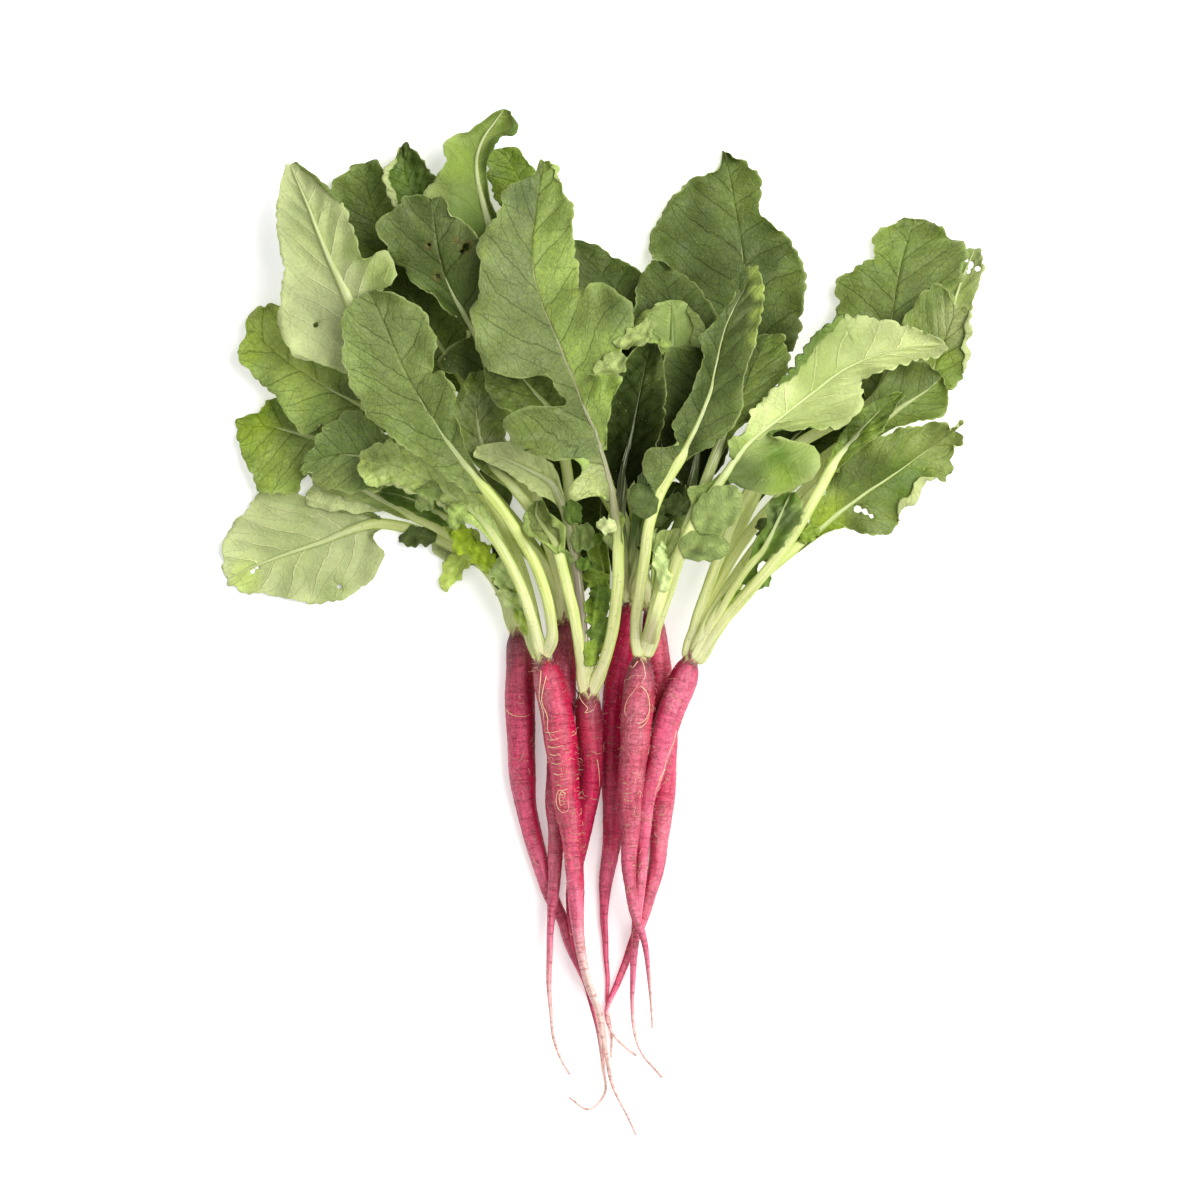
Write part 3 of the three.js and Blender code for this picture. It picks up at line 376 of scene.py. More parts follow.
def bumpOf(tree, height, distance):
    made = tree.nodes.new("ShaderNodeBump")
    feed(tree, made.inputs["Height"], height)
    made.inputs["Distance"].default_value = distance
    made.inputs["Strength"].default_value = 1.0
    return made.outputs["Normal"]


# tones that the skins mix in, and colours that they multiply by
skinTones = {
    "leafDots": tone(206, 214, 142),
    "paintedEdgeHighlight": tone(190, 204, 128),
    "leafWarm": (1.38, 1.27, 0.8),
    "leafCool": (0.82, 0.93, 1.02),
    "veinLight": (1.5, 1.4, 1.2),
    "veinCore": (1.5, 1.35, 1.6),
    "rib": (1.4, 1.3, 1.4),
    "stalkGroove": tone(148, 166, 78),
    "stalkPale": tone(242, 243, 204),
    "stalkFreckle": tone(126, 140, 66),
    "rootDustAndHighlight": tone(214, 132, 146),
    "rootScar": tone(226, 176, 140),
    "rootRing": (0.55, 0.35, 0.35),
    "rootPore": tone(232, 178, 152),
    "rootHairDark": tone(226, 182, 136),
    "rootHairPale": tone(246, 218, 180),
    "huskDark": tone(112, 62, 72),
    "huskPale": tone(190, 150, 128),
}

# how fine the noises of the skins are, in cells per metre
fineness = {
    "leafCloud": 75.0, "leafGrain": 750.0, "leafWarm": 330.0, "leafCool": 41.0, "leafRough": 160.0,
    "leafPits": 420.0, "leafSwell": 120.0, "stalkFreckle": 520.0, "rootStipple": 800.0,
    "rootFilm": 60.0, "rootPits": 240.0, "rootRough": 120.0, "rootHair": 700.0, "husk": 420.0,
}


def makeLeafSkin(name, look):
    material, tree, surface = newMaterial(name, look["roughness"], specular=look["gloss"])
    veins = useGroup(tree, veinGroup, Width=look["width"], Net=2.1)
    place = objectPlace(tree)
    base = named(tree, "tint", "Color")
    uneven, coarse = look["cloud"], look["grain"]
    cloud = ramp(tree, noiseOf(tree, place, fineness["leafCloud"], 4.0), 0.35, 0.68, 1 - uneven, 1 + uneven)
    grain = noiseOf(tree, place, fineness["leafGrain"], 3.0, 0.7)
    grain = ramp(tree, grain, 0.32, 0.68, 1 - coarse, 1 + coarse)
    base = multiplied(tree, base, times(tree, cloud, grain))
    warm = noiseOf(tree, place, fineness["leafWarm"], 4.0, 0.7)
    base = tinted(tree, ramp(tree, warm, 0.5, 0.7, 0.0, look["mottle"]), base, skinTones["leafWarm"])
    cool = noiseOf(tree, place, fineness["leafCool"], 2.0)
    base = tinted(tree, ramp(tree, cool, 0.52, 0.75, 0.0, look["cool"]), base, skinTones["leafCool"])
    lineTone = mixed(tree, named(tree, "light", "Fac"), look["lineTone"], skinTones["veinLight"])
    base = tinted(tree, times(tree, veins["Net"], look["net"]), base, lineTone)
    base = tinted(tree, times(tree, veins["Vein"], look["vein"]), base, lineTone)
    core = times(tree, calc(tree, "POWER", veins["Vein"], 4.0), look["core"])
    base = tinted(tree, core, base, skinTones["veinCore"])
    base = tinted(tree, times(tree, veins["Rib"], look["rib"]), base, skinTones["rib"])
    base = mixed(tree, times(tree, veins["Dots"], look["dots"]), base, skinTones["leafDots"])
    # a painted highlight: a pale line along the margin, as where the edges catch the light
    edge = ramp(tree, named(tree, "rim", "Fac"), 0.95, 1.0, 0.0, 0.3)
    base = mixed(tree, edge, base, skinTones["paintedEdgeHighlight"])
    tree.links.new(base, surface["Base Color"])
    bright = tree.nodes.new("ShaderNodeSeparateColor")
    tree.links.new(named(tree, "tint", "Color"), bright.inputs["Color"])
    sheen = ramp(tree, bright.outputs["Green"], 0.02, 0.2, 0.03, look["gloss"])
    tree.links.new(sheen, surface["Specular IOR Level"])
    roughness = look["roughness"]
    rough = noiseOf(tree, place, fineness["leafRough"], 3.0)
    rough = ramp(tree, rough, 0.3, 0.7, roughness - 0.08, roughness + 0.1)
    tree.links.new(rough, surface["Roughness"])
    height = plus(tree, veins["Vein"], times(tree, veins["Net"], 0.4))
    height = times(tree, height, look["relief"])
    pits = noiseOf(tree, place, fineness["leafPits"], 4.0, 0.65)
    height = plus(tree, height, times(tree, pits, 0.7))
    swell = noiseOf(tree, place, fineness["leafSwell"], 3.0)
    height = plus(tree, height, times(tree, swell, 1.0))
    tree.links.new(bumpOf(tree, height, mm(0.45)), surface["Normal"])
    return material


def makeStalkSkin():
    material, tree, surface = newMaterial(
        "stalkSkin", 0.33, subsurface=0.08, radius=(0.8, 1.0, 0.3), specular=0.55)
    across, along = skinPlace(tree)
    grooves = noiseOf(tree, flatPlace(tree, across, along, 11.0, 0.45), 1.0, 3.0)
    grooved = ramp(tree, grooves, 0.42, 0.66, 0.0, 0.34)
    base = mixed(tree, grooved, named(tree, "tint", "Color"), skinTones["stalkGroove"])
    pale = noiseOf(tree, flatPlace(tree, across, along, 16.0, 0.7), 1.0, 2.0)
    base = mixed(tree, ramp(tree, pale, 0.52, 0.72, 0.0, 0.5), base, skinTones["stalkPale"])
    freckle = noiseOf(tree, objectPlace(tree), fineness["stalkFreckle"], 3.0, 0.7)
    base = mixed(tree, ramp(tree, freckle, 0.58, 0.7, 0.0, 0.35), base, skinTones["stalkFreckle"])
    tree.links.new(base, surface["Base Color"])
    tree.links.new(bumpOf(tree, grooves, mm(0.35)), surface["Normal"])
    return material


def makeRootSkin():
    material, tree, surface = newMaterial(
        "rootSkin", 0.4, subsurface=0.05, radius=(1.0, 0.12, 0.2), specular=0.6)
    across, along = skinPlace(tree)
    place = objectPlace(tree)
    scar = named(tree, "scar", "Fac")
    whip = named(tree, "whip", "Fac")
    dustAndHighlight = named(tree, "dustAndHighlight", "Fac")
    streaks = noiseOf(tree, flatPlace(tree, across, along, 6.0, 0.5), 1.0, 5.0, 0.6)
    base = named(tree, "tint", "Color")
    base = multiplied(tree, base, ramp(tree, streaks, 0.3, 0.72, 0.68, 1.28))
    stipple = noiseOf(tree, place, fineness["rootStipple"], 4.0, 0.75)
    # the pale pink film is partly dust and partly a painted highlight on the lit side
    dustAndHighlightFilm = ramp(tree, noiseOf(tree, place, fineness["rootFilm"], 4.0, 0.6), 0.3, 0.7, 0.35, 1.0)
    dustAndHighlightFilm = times(tree, times(tree, dustAndHighlightFilm, dustAndHighlight), ramp(tree, stipple, 0.4, 0.62, 0.35, 1.0))
    base = mixed(tree, dustAndHighlightFilm, base, skinTones["rootDustAndHighlight"])
    base = multiplied(tree, base, ramp(tree, stipple, 0.35, 0.68, 0.86, 1.18))
    rings = noiseOf(tree, flatPlace(tree, across, along, 2.2, 10.0), 1.0, 3.0, 0.6)
    lines = times(tree, ramp(tree, rings, 0.6, 0.64), ramp(tree, rings, 0.65, 0.7, 1.0, 0.0))
    base = mixed(tree, times(tree, lines, scar), base, skinTones["rootScar"])
    bands = noiseOf(tree, flatPlace(tree, across, along, 0.6, 5.0), 1.0, 3.0)
    dark = times(tree, ramp(tree, bands, 0.57, 0.6), ramp(tree, bands, 0.61, 0.65, 1.0, 0.0))
    ringed = times(tree, dark, ramp(tree, whip, 0.0, 1.0, 0.3, 0.7))
    base = tinted(tree, ringed, base, skinTones["rootRing"])
    pores = ramp(tree, cellsOf(tree, flatPlace(tree, across, along), 4.6, "F1"), 0.05, 0.12, 0.32, 0.0)
    base = mixed(tree, pores, base, skinTones["rootPore"])
    tree.links.new(base, surface["Base Color"])
    sheen = ramp(tree, named(tree, "shine", "Fac"), 0.0, 1.0, 0.06, 0.36)
    tree.links.new(sheen, surface["Specular IOR Level"])
    height = plus(tree, times(tree, lines, 0.5), times(tree, streaks, 0.4))
    height = calc(tree, "SUBTRACT", height, times(tree, dark, 0.5))
    height = plus(tree, height, times(tree, stipple, 0.5))
    pits = noiseOf(tree, place, fineness["rootPits"], 4.0, 0.6)
    height = plus(tree, height, times(tree, pits, 0.9))
    tree.links.new(bumpOf(tree, height, mm(0.3)), surface["Normal"])
    rough = ramp(tree, noiseOf(tree, place, fineness["rootRough"], 3.0), 0.3, 0.7, 0.34, 0.5)
    tree.links.new(rough, surface["Roughness"])
    return material


def makeFibreSkin(name, roughness, detail, bump=0.0):
    # the dry skin of the root hairs and of the husks
    material, tree, surface = newMaterial(name + "Skin", roughness)
    fibre = noiseOf(tree, objectPlace(tree), fineness[name], detail)
    dark, pale = skinTones[name + "Dark"], skinTones[name + "Pale"]
    tree.links.new(mixed(tree, ramp(tree, fibre, 0.3, 0.7), dark, pale), surface["Base Color"])
    if bump > 0:
        tree.links.new(bumpOf(tree, fibre, bump), surface["Normal"])
    return material


topLook = {
    "roughness": 0.48, "gloss": 0.32, "cloud": 0.1, "grain": 0.15, "mottle": 0.5, "cool": 0.45,
    "net": 0.24, "vein": 0.5, "core": 0.0, "rib": 0.35, "dots": 0.45, "width": 0.02,
    "lineTone": (0.52, 0.55, 0.5), "relief": -0.75,
}
underLook = {
    "roughness": 0.58, "gloss": 0.25, "cloud": 0.04, "grain": 0.07, "mottle": 0.16, "cool": 0.2,
    "net": 0.2, "vein": 0.5, "core": 0.5, "rib": 0.4, "dots": 0.1, "width": 0.034,
    "lineTone": (1.14, 1.13, 1.1), "relief": 0.6,
}
leafTopSkin = makeLeafSkin("leafTopSkin", topLook)
leafUnderSkin = makeLeafSkin("leafUnderSkin", underLook)
stalkSkin = makeStalkSkin()
rootSkin = makeRootSkin()
rootHairSkin = makeFibreSkin("rootHair", 0.6, 2.0)
huskSkin = makeFibreSkin("husk", 0.75, 4.0, mm(0.3))
print("skins mixed")


# ---- meshes ----

skinUnits = 100                              # places on a skin are in centimetres
topKind, underKind, stalkKind = 0, 1, 2      # the materials of a leaf, in their order
tableGap = mm(0.4)                           # what lies lower is pressed onto the table
tablePress = mm(1.2)                         # how softly


class Pile:
    # collects sheets and tubes until they become one piece
    def __init__(self):
        self.faces, self.kinds, self.count = [], [], 0
        self.stores = {"points": [], "tint": [], "skin": [], "rim": [], "row": [], "light": []}

    def add(self, points, faces, kinds, tint, skin, **values):
        self.faces += [tuple(self.count + corner for corner in face) for face in faces]
        self.kinds += [kinds] * len(faces) if isinstance(kinds, int) else list(kinds)
        for name, given in (("points", points), ("tint", tint), ("skin", skin)):
            self.stores[name].append(given)
        for name in ("rim", "row", "light"):
            self.stores[name].append(values.get(name, np.zeros(len(points))))
        self.count += len(points)

    def points(self):
        # everything stays above the table: what would dip below it is pressed flat onto it
        points = np.concatenate(self.stores["points"])
        heights = points[:, 2]
        pressed = tableGap * np.exp((heights - tableGap) / tablePress)
        points[:, 2] = np.where(heights < tableGap, pressed, heights)
        return points

    def finish(self, name, materials):
        mesh = bpy.data.meshes.new(name)
        mesh.from_pydata(self.points().tolist(), [], self.faces)
        for material in materials:
            mesh.materials.append(material)
        mesh.polygons.foreach_set("material_index", self.kinds)
        mesh.polygons.foreach_set("use_smooth", [True] * len(self.faces))
        tint = mesh.attributes.new("tint", "FLOAT_COLOR", "POINT")
        colours = np.concatenate(self.stores["tint"])
        tint.data.foreach_set("color", np.column_stack([colours, np.ones(len(colours))]).ravel())
        for label in ("rim", "row", "light"):
            addValues(mesh, label, np.concatenate(self.stores[label]))
        corners = np.zeros(len(mesh.loops), int)
        mesh.loops.foreach_get("vertex_index", corners)
        layer = mesh.uv_layers.new(name="skin")
        layer.uv.foreach_set("vector", np.concatenate(self.stores["skin"])[corners].ravel())
        mesh.update()
        return newObject(name, mesh)


def addValues(mesh, name, values):
    attribute = mesh.attributes.new(name, "FLOAT", "POINT")
    attribute.data.foreach_set("value", np.asarray(values, float).ravel())


def gridFaces(rows, columns, start=0, flip=False, around=False):
    faces = []
    last = columns if around else columns - 1
    for i in range(rows - 1):
        for j in range(last):
            k = (j + 1) % columns
            face = [start + i * columns + j, start + i * columns + k,
                    start + (i + 1) * columns + k, start + (i + 1) * columns + j]
            faces.append(face[::-1] if flip else face)
    return faces


def tubeFaces(rows, sides, flip=False):
    # the wall of a tube and its two ends
    start, end = tuple(range(sides)), tuple((rows - 1) * sides + j for j in range(sides))
    ends = [start, end[::-1]] if flip else [start[::-1], end]
    return gridFaces(rows, sides, around=True, flip=flip) + ends


# what already lies there, each as (owner, low corner, high corner, search tree)
laidPieces = []


def remember(owner, points, faces):
    tree = BVHTree.FromPolygons([Vector(p) for p in points], faces)
    laidPieces.append((owner, points.min(axis=0), points.max(axis=0), tree))


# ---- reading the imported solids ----

keyStep = mm(0.01)                 # corners closer than this are the same one
packedSides = 10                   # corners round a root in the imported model
packedColumns = 5                  # points across a leaf there: margin, fold, rib, fold, margin
marginAndFold = ((0, 1), (4, 3))   # their columns on the left and on the right


def solidTriangles(node):
    # the triangles of a solid, each corner as its place counted in key steps
    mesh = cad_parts[node].data
    places = np.zeros(len(mesh.vertices) * 3)
    mesh.vertices.foreach_get("co", places)
    keys = [tuple(key) for key in np.round(places.reshape(-1, 3) / keyStep).astype(int).tolist()]
    return [[keys[v] for v in polygon.vertices] for polygon in mesh.polygons]


def neighboursOf(triangles):
    near = {}
    for triangle in triangles:
        for key in triangle:
            near.setdefault(key, set()).update(other for other in triangle if other != key)
    return near


def levelsFrom(first, near):
    # corners reached after one edge, two edges and so on
    levels, seen = [first], set(first)
    while True:
        ahead = {other for key in levels[-1] for other in near[key]} - seen
        if not ahead:
            return levels
        seen |= ahead
        levels.append(sorted(ahead))


def readRoot(node):
    # the centre and the radius of every ring from the crown to the tip
    near = neighboursOf(solidTriangles(node))
    ends = [key for key in near if len(near[key]) >= packedSides - 1]
    crown = max(ends, key=lambda key: key[1])
    levels = [np.array(level) * keyStep for level in levelsFrom([crown], near)]
    rings = [level for level in levels[1:] if len(level) > 1]
    centres, radii = [], []
    for ring in rings:
        middle = ring.mean(axis=0)
        radius = np.linalg.norm(ring - middle, axis=1).max()
        top = ring[:, 2].max() - radius * math.cos(math.pi / packedSides)
        centres.append((middle[0], middle[1], top))
        radii.append(radius)
    return np.array(centres), np.array(radii)


def pathOrder(level, near):
    # the points of one row, from one margin to the other
    inside = {key: near[key] & set(level) for key in level}
    end = min((key for key in level if len(inside[key]) == 1), default=level[0])
    path = [end]
    while len(path) < len(level):
        ahead = [key for key in inside[path[-1]] if key not in path]
        path.append(ahead[0])
    return path


def readLeaf(node, crown):
    # rows from the crown to the tip, each with plan points from left to right and two heights
    triangles = solidTriangles(node)
    low, high = {}, {}
    for triangle in triangles:
        for x, y, z in triangle:
            low[x, y] = min(low.get((x, y), z), z)
            high[x, y] = max(high.get((x, y), z), z)
    near = neighboursOf([list({key[:2] for key in triangle}) for triangle in triangles])
    fromCrown = {key: math.hypot(key[0] * keyStep - crown[0], key[1] * keyStep - crown[1]) for key in near}
    first = sorted(near, key=fromCrown.get)[:packedColumns]
    rows = [pathOrder(level, near) for level in levelsFrom(first, near)]
    rib, ahead, edge = (np.array(key) for key in (rows[0][2], rows[1][2], rows[0][0]))
    if np.cross(ahead - rib, edge - rib) < 0:
        rows[0].reverse()
    for before, row in zip(rows, rows[1:]):
        if row[0] not in near[before[0]]:
            row.reverse()
    return np.array([[(*key, low[key], high[key]) for key in row] for row in rows]) * keyStep


# ---- roots ----

rootLook = {
    "sides": 32,
    "ringGap": mm(0.8),
    "tipRadius": mm(0.07),
    "whipRadius": mm(0.8),
    "whipLength": mm(55),
    "domeHeight": mm(4.5),
    "neckLength": mm(14),
    "strewnThickness": mm(0.085),
    "drawnThickness": mm(0.2),
    "crimson": tone(208, 8, 78),
    "paintedShadeCrimson": tone(172, 0, 58),
    "wine": tone(190, 0, 72),
    "brick": tone(170, 76, 84),
    "rose": tone(202, 44, 92),
    "plum": tone(98, 40, 52),
    "husk": tone(142, 108, 84),
    "collar": tone(198, 186, 130),
    "pink": tone(234, 120, 150),
    "blush": tone(220, 84, 122),
    "cream": tone(242, 206, 192),
    "green": tone(214, 220, 150),
    "lumpDepth": mm(0.22),
    "lumpLength": mm(26),
    "creaseDepth": mm(0.05),
    "creaseLength": mm(9),
    "collarDepth": mm(0.32),
    "kinkDepth": mm(0.25),
    "kinkLength": mm(22),
}

# lit is the side, in degrees, that is painted as lit, rosy and dusty in the base tone, while the flanks away
# from it are painted in a shaded crimson; neck is how wide the crown is, as a part of the imported one;
# dust, shoulder and scarred say how strong the dust with its painted highlight, the dark below the crown and
# the scratches are; cream is the part of the length where the whip turns pink and then cream; scars are
# where pale scratches run round it, (from, to) in mm below the crown; bruises are (from, to in mm below the
# crown, side and half their width in degrees, strength).
roots = {
    "root_a": dict(
        lit=125, base="rose", neck=0.62, dustAndHighlight=0.6, shoulder=1.0, cream=(0.6, 1.0), scars=(70, 130),
        scarred=0.2, bruises=[(0, 26, 100, 70, 0.45)]),
    "root_b": dict(
        lit=118, base="crimson", neck=0.6, dustAndHighlight=0.6, shoulder=0.25, cream=(0.38, 0.76), scars=(34, 82),
        scarred=0.9, bruises=[(0, 30, 142, 26, 0.75), (34, 80, 105, 30, 0.35)]),
    "root_c": dict(
        lit=95, base="rose", neck=0.8, dustAndHighlight=0.6, shoulder=0.8, cream=(0.5, 1.0), scars=(90, 150),
        scarred=0.3, bruises=[(60, 120, 100, 50, 0.35)]),
    "root_d": dict(
        lit=62, base="wine", neck=0.92, dustAndHighlight=0.12, shoulder=0.75, cream=(0.75, 1.0), scars=(20, 90),
        scarred=0.4, bruises=[(0, 30, 100, 60, 0.3)]),
    "root_e": dict(
        lit=90, base="wine", neck=0.8, dustAndHighlight=0.05, shoulder=0.4, cream=(0.82, 1.0), scars=(60, 120),
        scarred=0.3),
    "root_f": dict(
        lit=100, base="rose", neck=0.56, dustAndHighlight=0.95, shoulder=0.85, cream=(0.7, 1.0), scars=(60, 120),
        scarred=0.7, bruises=[(0, 66, 90, 75, 0.5), (70, 120, 80, 50, 0.25)]),
    "root_g": dict(
        lit=55, base="crimson", neck=0.6, dustAndHighlight=0.75, shoulder=0.9, cream=(0.8, 0.95), scars=(60, 140),
        scarred=0.5, bruises=[(0, 16, 90, 80, 0.35), (90, 150, 60, 60, 0.25)]),
    "root_h": dict(
        lit=75, base="blush", neck=0.62, dustAndHighlight=0.95, shoulder=0.3, cream=(0.66, 0.95), scars=(50, 120),
        scarred=0.3),
}

# fine rootlets that lie on the skin: (how many, from, to) in mm below the crown, scattered by a seed,
# and single ones as points (mm below the crown, degrees round it: 180 left, 90 up, 0 right)
rootlets = {
    "root_a": dict(strewn=(8, 20, 150), drawn=[
        [(36, 158), (38, 130), (39, 100), (39, 70), (38, 45)],
    ]),
    "root_b": dict(strewn=(16, 36, 150), drawn=[
        [(6, 112), (12, 128), (18, 146), (24, 140), (29, 148), (34, 136), (36, 112)],
        [(9, 96), (14, 118), (20, 138), (27, 126), (33, 134), (38, 120)],
        [(34, 150), (34.6, 120), (34.2, 84)], [(37.2, 146), (38, 122), (37.4, 92)],
        [(40.6, 148), (41.4, 118), (40.9, 82)], [(44, 144), (45, 120), (44.6, 98)],
        [(48.4, 140), (49, 116), (48.6, 92)], [(53, 136), (53.8, 116), (53.4, 98)],
        [(62, 96), (60.6, 116), (62.6, 132), (66, 138), (69, 132), (70.6, 112), (69.6, 90), (66, 84)],
        [(60, 84), (61.4, 110), (64.6, 122), (67.4, 118), (66.4, 98)],
    ]),
    "root_c": dict(strewn=(10, 60, 160), drawn=[]),
    "root_d": dict(strewn=(10, 4, 110), drawn=[
        [(1.5, 150), (4, 120), (7, 92), (9, 104), (8, 70), (5, 52)],
        [(30, 60), (36, 48), (42, 36)],
    ]),
    "root_e": dict(strewn=(8, 40, 150), drawn=[]),
    "root_f": dict(strewn=(22, 2, 150), drawn=[
        [(14, 88), (16, 66), (20, 50), (25, 44), (29, 58), (31, 86), (29.5, 116), (26, 138), (21, 130),
         (16.5, 108), (13, 96)],
        [(26, 140), (30, 120), (33, 92), (31.4, 62), (27, 44)],
        [(2, 96), (4, 78), (9, 70), (13, 84)],
        [(3, 110), (6, 128), (5, 150)],
    ]),
    "root_g": dict(strewn=(18, 30, 160), drawn=[]),
    "root_h": dict(strewn=(16, 10, 140), drawn=[
        [(34, 36), (40, 30), (47, 40), (54, 34), (60, 46), (66, 38)],
        [(52, 30), (56, 44), (61, 36)],
    ]),
}


def rootGrid(name, own, order):
    # rings from the crown to the tip of the whip: places, turn and distance of every point
    look = rootLook
    centres, radii = readRoot(name)
    knots = lengthsAlong(centres)
    total = knots[-1]
    along = np.linspace(0, total, int(total / look["ringGap"]))
    middle = throughKnots(along, knots, centres, 0.0)
    radius = throughKnots(along, knots, radii, 1.0)
    whip = smooth(total, total - look["whipLength"], along)
    radius = np.maximum(radius, blend(look["tipRadius"], look["whipRadius"], whip))
    below = np.clip(along / look["neckLength"], 0, 1)
    radius = radius * blend(own["neck"], 1.0, np.sqrt(1 - (1 - below) ** 2))
    kink = smooth(mm(3.0), mm(0.8), radius) * look["kinkDepth"]
    middle[:, 0] += kink * waves(order + 40, along, 0 * along, look["kinkLength"])
    ahead = unit(np.gradient(middle, along, axis=0))
    turns = np.linspace(math.pi / 2, 0, 9)[1:-1]
    dome = look["domeHeight"]
    middle = np.concatenate([middle[0] - np.outer(np.sin(turns), ahead[0]) * dome, middle])
    ahead = np.concatenate([np.repeat(ahead[:1], len(turns), axis=0), ahead])
    along = np.concatenate([-np.sin(turns) * dome, along])
    radius = np.concatenate([radius[0] * np.cos(turns), radius])
    side = unit(np.stack([-ahead[:, 1], ahead[:, 0], 0 * ahead[:, 0]], axis=1))
    up = np.cross(ahead, side)
    a, s = np.meshgrid(anglesRound(look["sides"]), along)
    lump = waves(order, np.cos(a) * mm(9), s + np.sin(a) * mm(6), look["lumpLength"])
    lump = lump * look["lumpDepth"]
    crease = waves(order + 9, np.cos(a) * mm(5), s * 3.2, look["creaseLength"]) * look["creaseDepth"]
    swell = radius[:, None] + (lump + crease) * smooth(mm(0.8), mm(3.5), radius)[:, None]
    collar = 1.3 * np.exp(-((s - mm(0.4)) / mm(1.0)) ** 2) - 0.9 * np.exp(-((s - mm(2.8)) / mm(0.9)) ** 2)
    scallops = 1 + 0.5 * np.sin(a * 5 + order) + 0.4 * np.sin(a * 8 + 2 * order)
    swell = swell + collar * look["collarDepth"] * scallops
    turned = np.cos(a)[..., None] * side[:, None, :] + np.sin(a)[..., None] * up[:, None, :]
    points = middle[:, None, :] + swell[..., None] * turned
    points[..., 2] = np.maximum(points[..., 2], mm(0.05))
    return dict(points=points, turn=a, along=s, radius=radius, total=total, centres=centres,
                middle=middle, side=side, up=up)


def rootTint(grid, own, order):
    # the tone of every point, as layers of (tone, how much of it) over the base
    look = rootLook
    a, s = grid["turn"], grid["along"]
    part = np.clip(s / grid["total"], 0, 1)
    patch = 0.5 + 0.5 * waves(order + 20, a * mm(9), s, mm(18))
    turned = np.cos(a - math.radians(own["lit"]))
    # painted shade: the flanks away from the lit side turn dark crimson, and the pink lower down keeps to
    # the lit side
    paintedFlankShade = smooth(0.8, 0.1, turned + 0.2 * waves(order + 21, a * mm(5), s, mm(25)))
    streak = smooth(-0.2, 0.9, waves(order + 22, a * mm(7), s * 0.35, mm(9)))
    slim = smooth(mm(3.6), mm(1.0), grid["radius"])[:, None] + 0 * a
    rosy = 0.75 * smooth(mm(50), mm(140), s) * (1 - 0.85 * paintedFlankShade) * (1 - 0.7 * streak)
    start, end = own["cream"]
    pale = smooth(start, end, part + 0.02 * np.sin(2 * a))
    layers = [
        ("paintedShadeCrimson", np.clip(0.15 * patch + 0.85 * paintedFlankShade + 0.4 * streak, 0, 1)),
        ("rose", slim * 0.5),
        ("pink", rosy),
        ("pink", smooth(0.0, 0.5, pale) * (0.85 - 0.4 * streak)),
        ("cream", smooth(0.25, 0.9, pale) * 0.92),
    ]
    for first, last, centre, width, strength in own.get("bruises", ()):
        turned = np.cos(a - math.radians(centre)) + 0.15 * waves(order + 23, a * mm(6), s, mm(12))
        band = smooth(mm(first - 5), mm(first + 3), s) * smooth(mm(last + 10), mm(last - 6), s)
        outer, inner = (math.cos(math.radians(degrees)) for degrees in (width + 25, width))
        layers.append(("brick", strength * band * smooth(outer, inner, turned)))
    shoulder = smooth(mm(24), mm(3), s + mm(4) * np.sin(2 * a + order) + mm(2) * np.sin(5 * a))
    ragged = s + mm(0.9) * np.sin(5 * a + order) + mm(0.6) * np.sin(11 * a)
    layers += [
        ("plum", shoulder * 0.85 * own["shoulder"]),
        ("plum", smooth(mm(6), mm(2.5), ragged) * 0.75),
        ("husk", smooth(mm(3.2), mm(1.8), ragged) * 0.8),
        ("collar", smooth(mm(1.7), mm(0.7), ragged) * 0.9),
        ("green", smooth(mm(0.2), mm(-1), ragged) * 0.95),
    ]
    tint = look[own["base"]]
    for name, weight in layers:
        tint = blend(tint, look[name], weight[..., None])
    return tint, slim, pale


def makeRoot(name, own, order):
    grid = rootGrid(name, own, order)
    tint, slim, pale = rootTint(grid, own, order)
    a, s = grid["turn"], grid["along"]
    rows, columns = a.shape
    pile = Pile()
    faces = tubeFaces(rows, columns)
    reach = np.clip(grid["radius"], mm(2), mm(6))[:, None]
    skin = np.stack([np.abs(a - math.pi) * reach, s], axis=2).reshape(-1, 2) * skinUnits
    pile.add(grid["points"].reshape(-1, 3), faces, 0, tint.reshape(-1, 3), skin)
    piece = pile.finish(name + "_skin", [rootSkin])
    first, last = own["scars"]
    scars = smooth(mm(first - 8), mm(first), s) * smooth(mm(last + 12), mm(last), s)
    scars = scars * smooth(-0.4, 0.6, waves(order + 30, a * mm(4), s, mm(22))) * own["scarred"] + 0.2
    addValues(piece.data, "scar", scars)
    addValues(piece.data, "whip", slim)
    # the dust lies on the lit side, where it also stands for a painted highlight
    dustAndHighlight = own["dustAndHighlight"] * (0.75 + 0.25 * waves(order + 33, a * mm(6), s, mm(30))) * (1 - 0.7 * pale)
    turned = np.cos(a - math.radians(own["lit"])) + 0.2 * waves(order + 35, a * mm(5), s, mm(16))
    addValues(piece.data, "dustAndHighlight", np.clip(dustAndHighlight * smooth(0.2, 0.9, turned) * smooth(mm(2), mm(9), s), 0, 1))
    addValues(piece.data, "shine", smooth(-0.1, 0.8, np.sin(a)))
    remember(name, grid["points"].reshape(-1, 3), faces)
    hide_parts(name)
    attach(piece, "root")
    return grid


def onSkin(grid, distance, degrees, height):
    # a place on a root by its distance below the crown and its turn round it
    along = grid["along"][:, 0]
    turn = math.radians(degrees)
    middle, side, up = (pointAt(distance, along, grid[key]) for key in ("middle", "side", "up"))
    radius = np.interp(distance, along, grid["radius"]) + height
    place = middle + radius * (math.cos(turn) * side + math.sin(turn) * up)
    place[2] = max(place[2], mm(0.3))
    return place


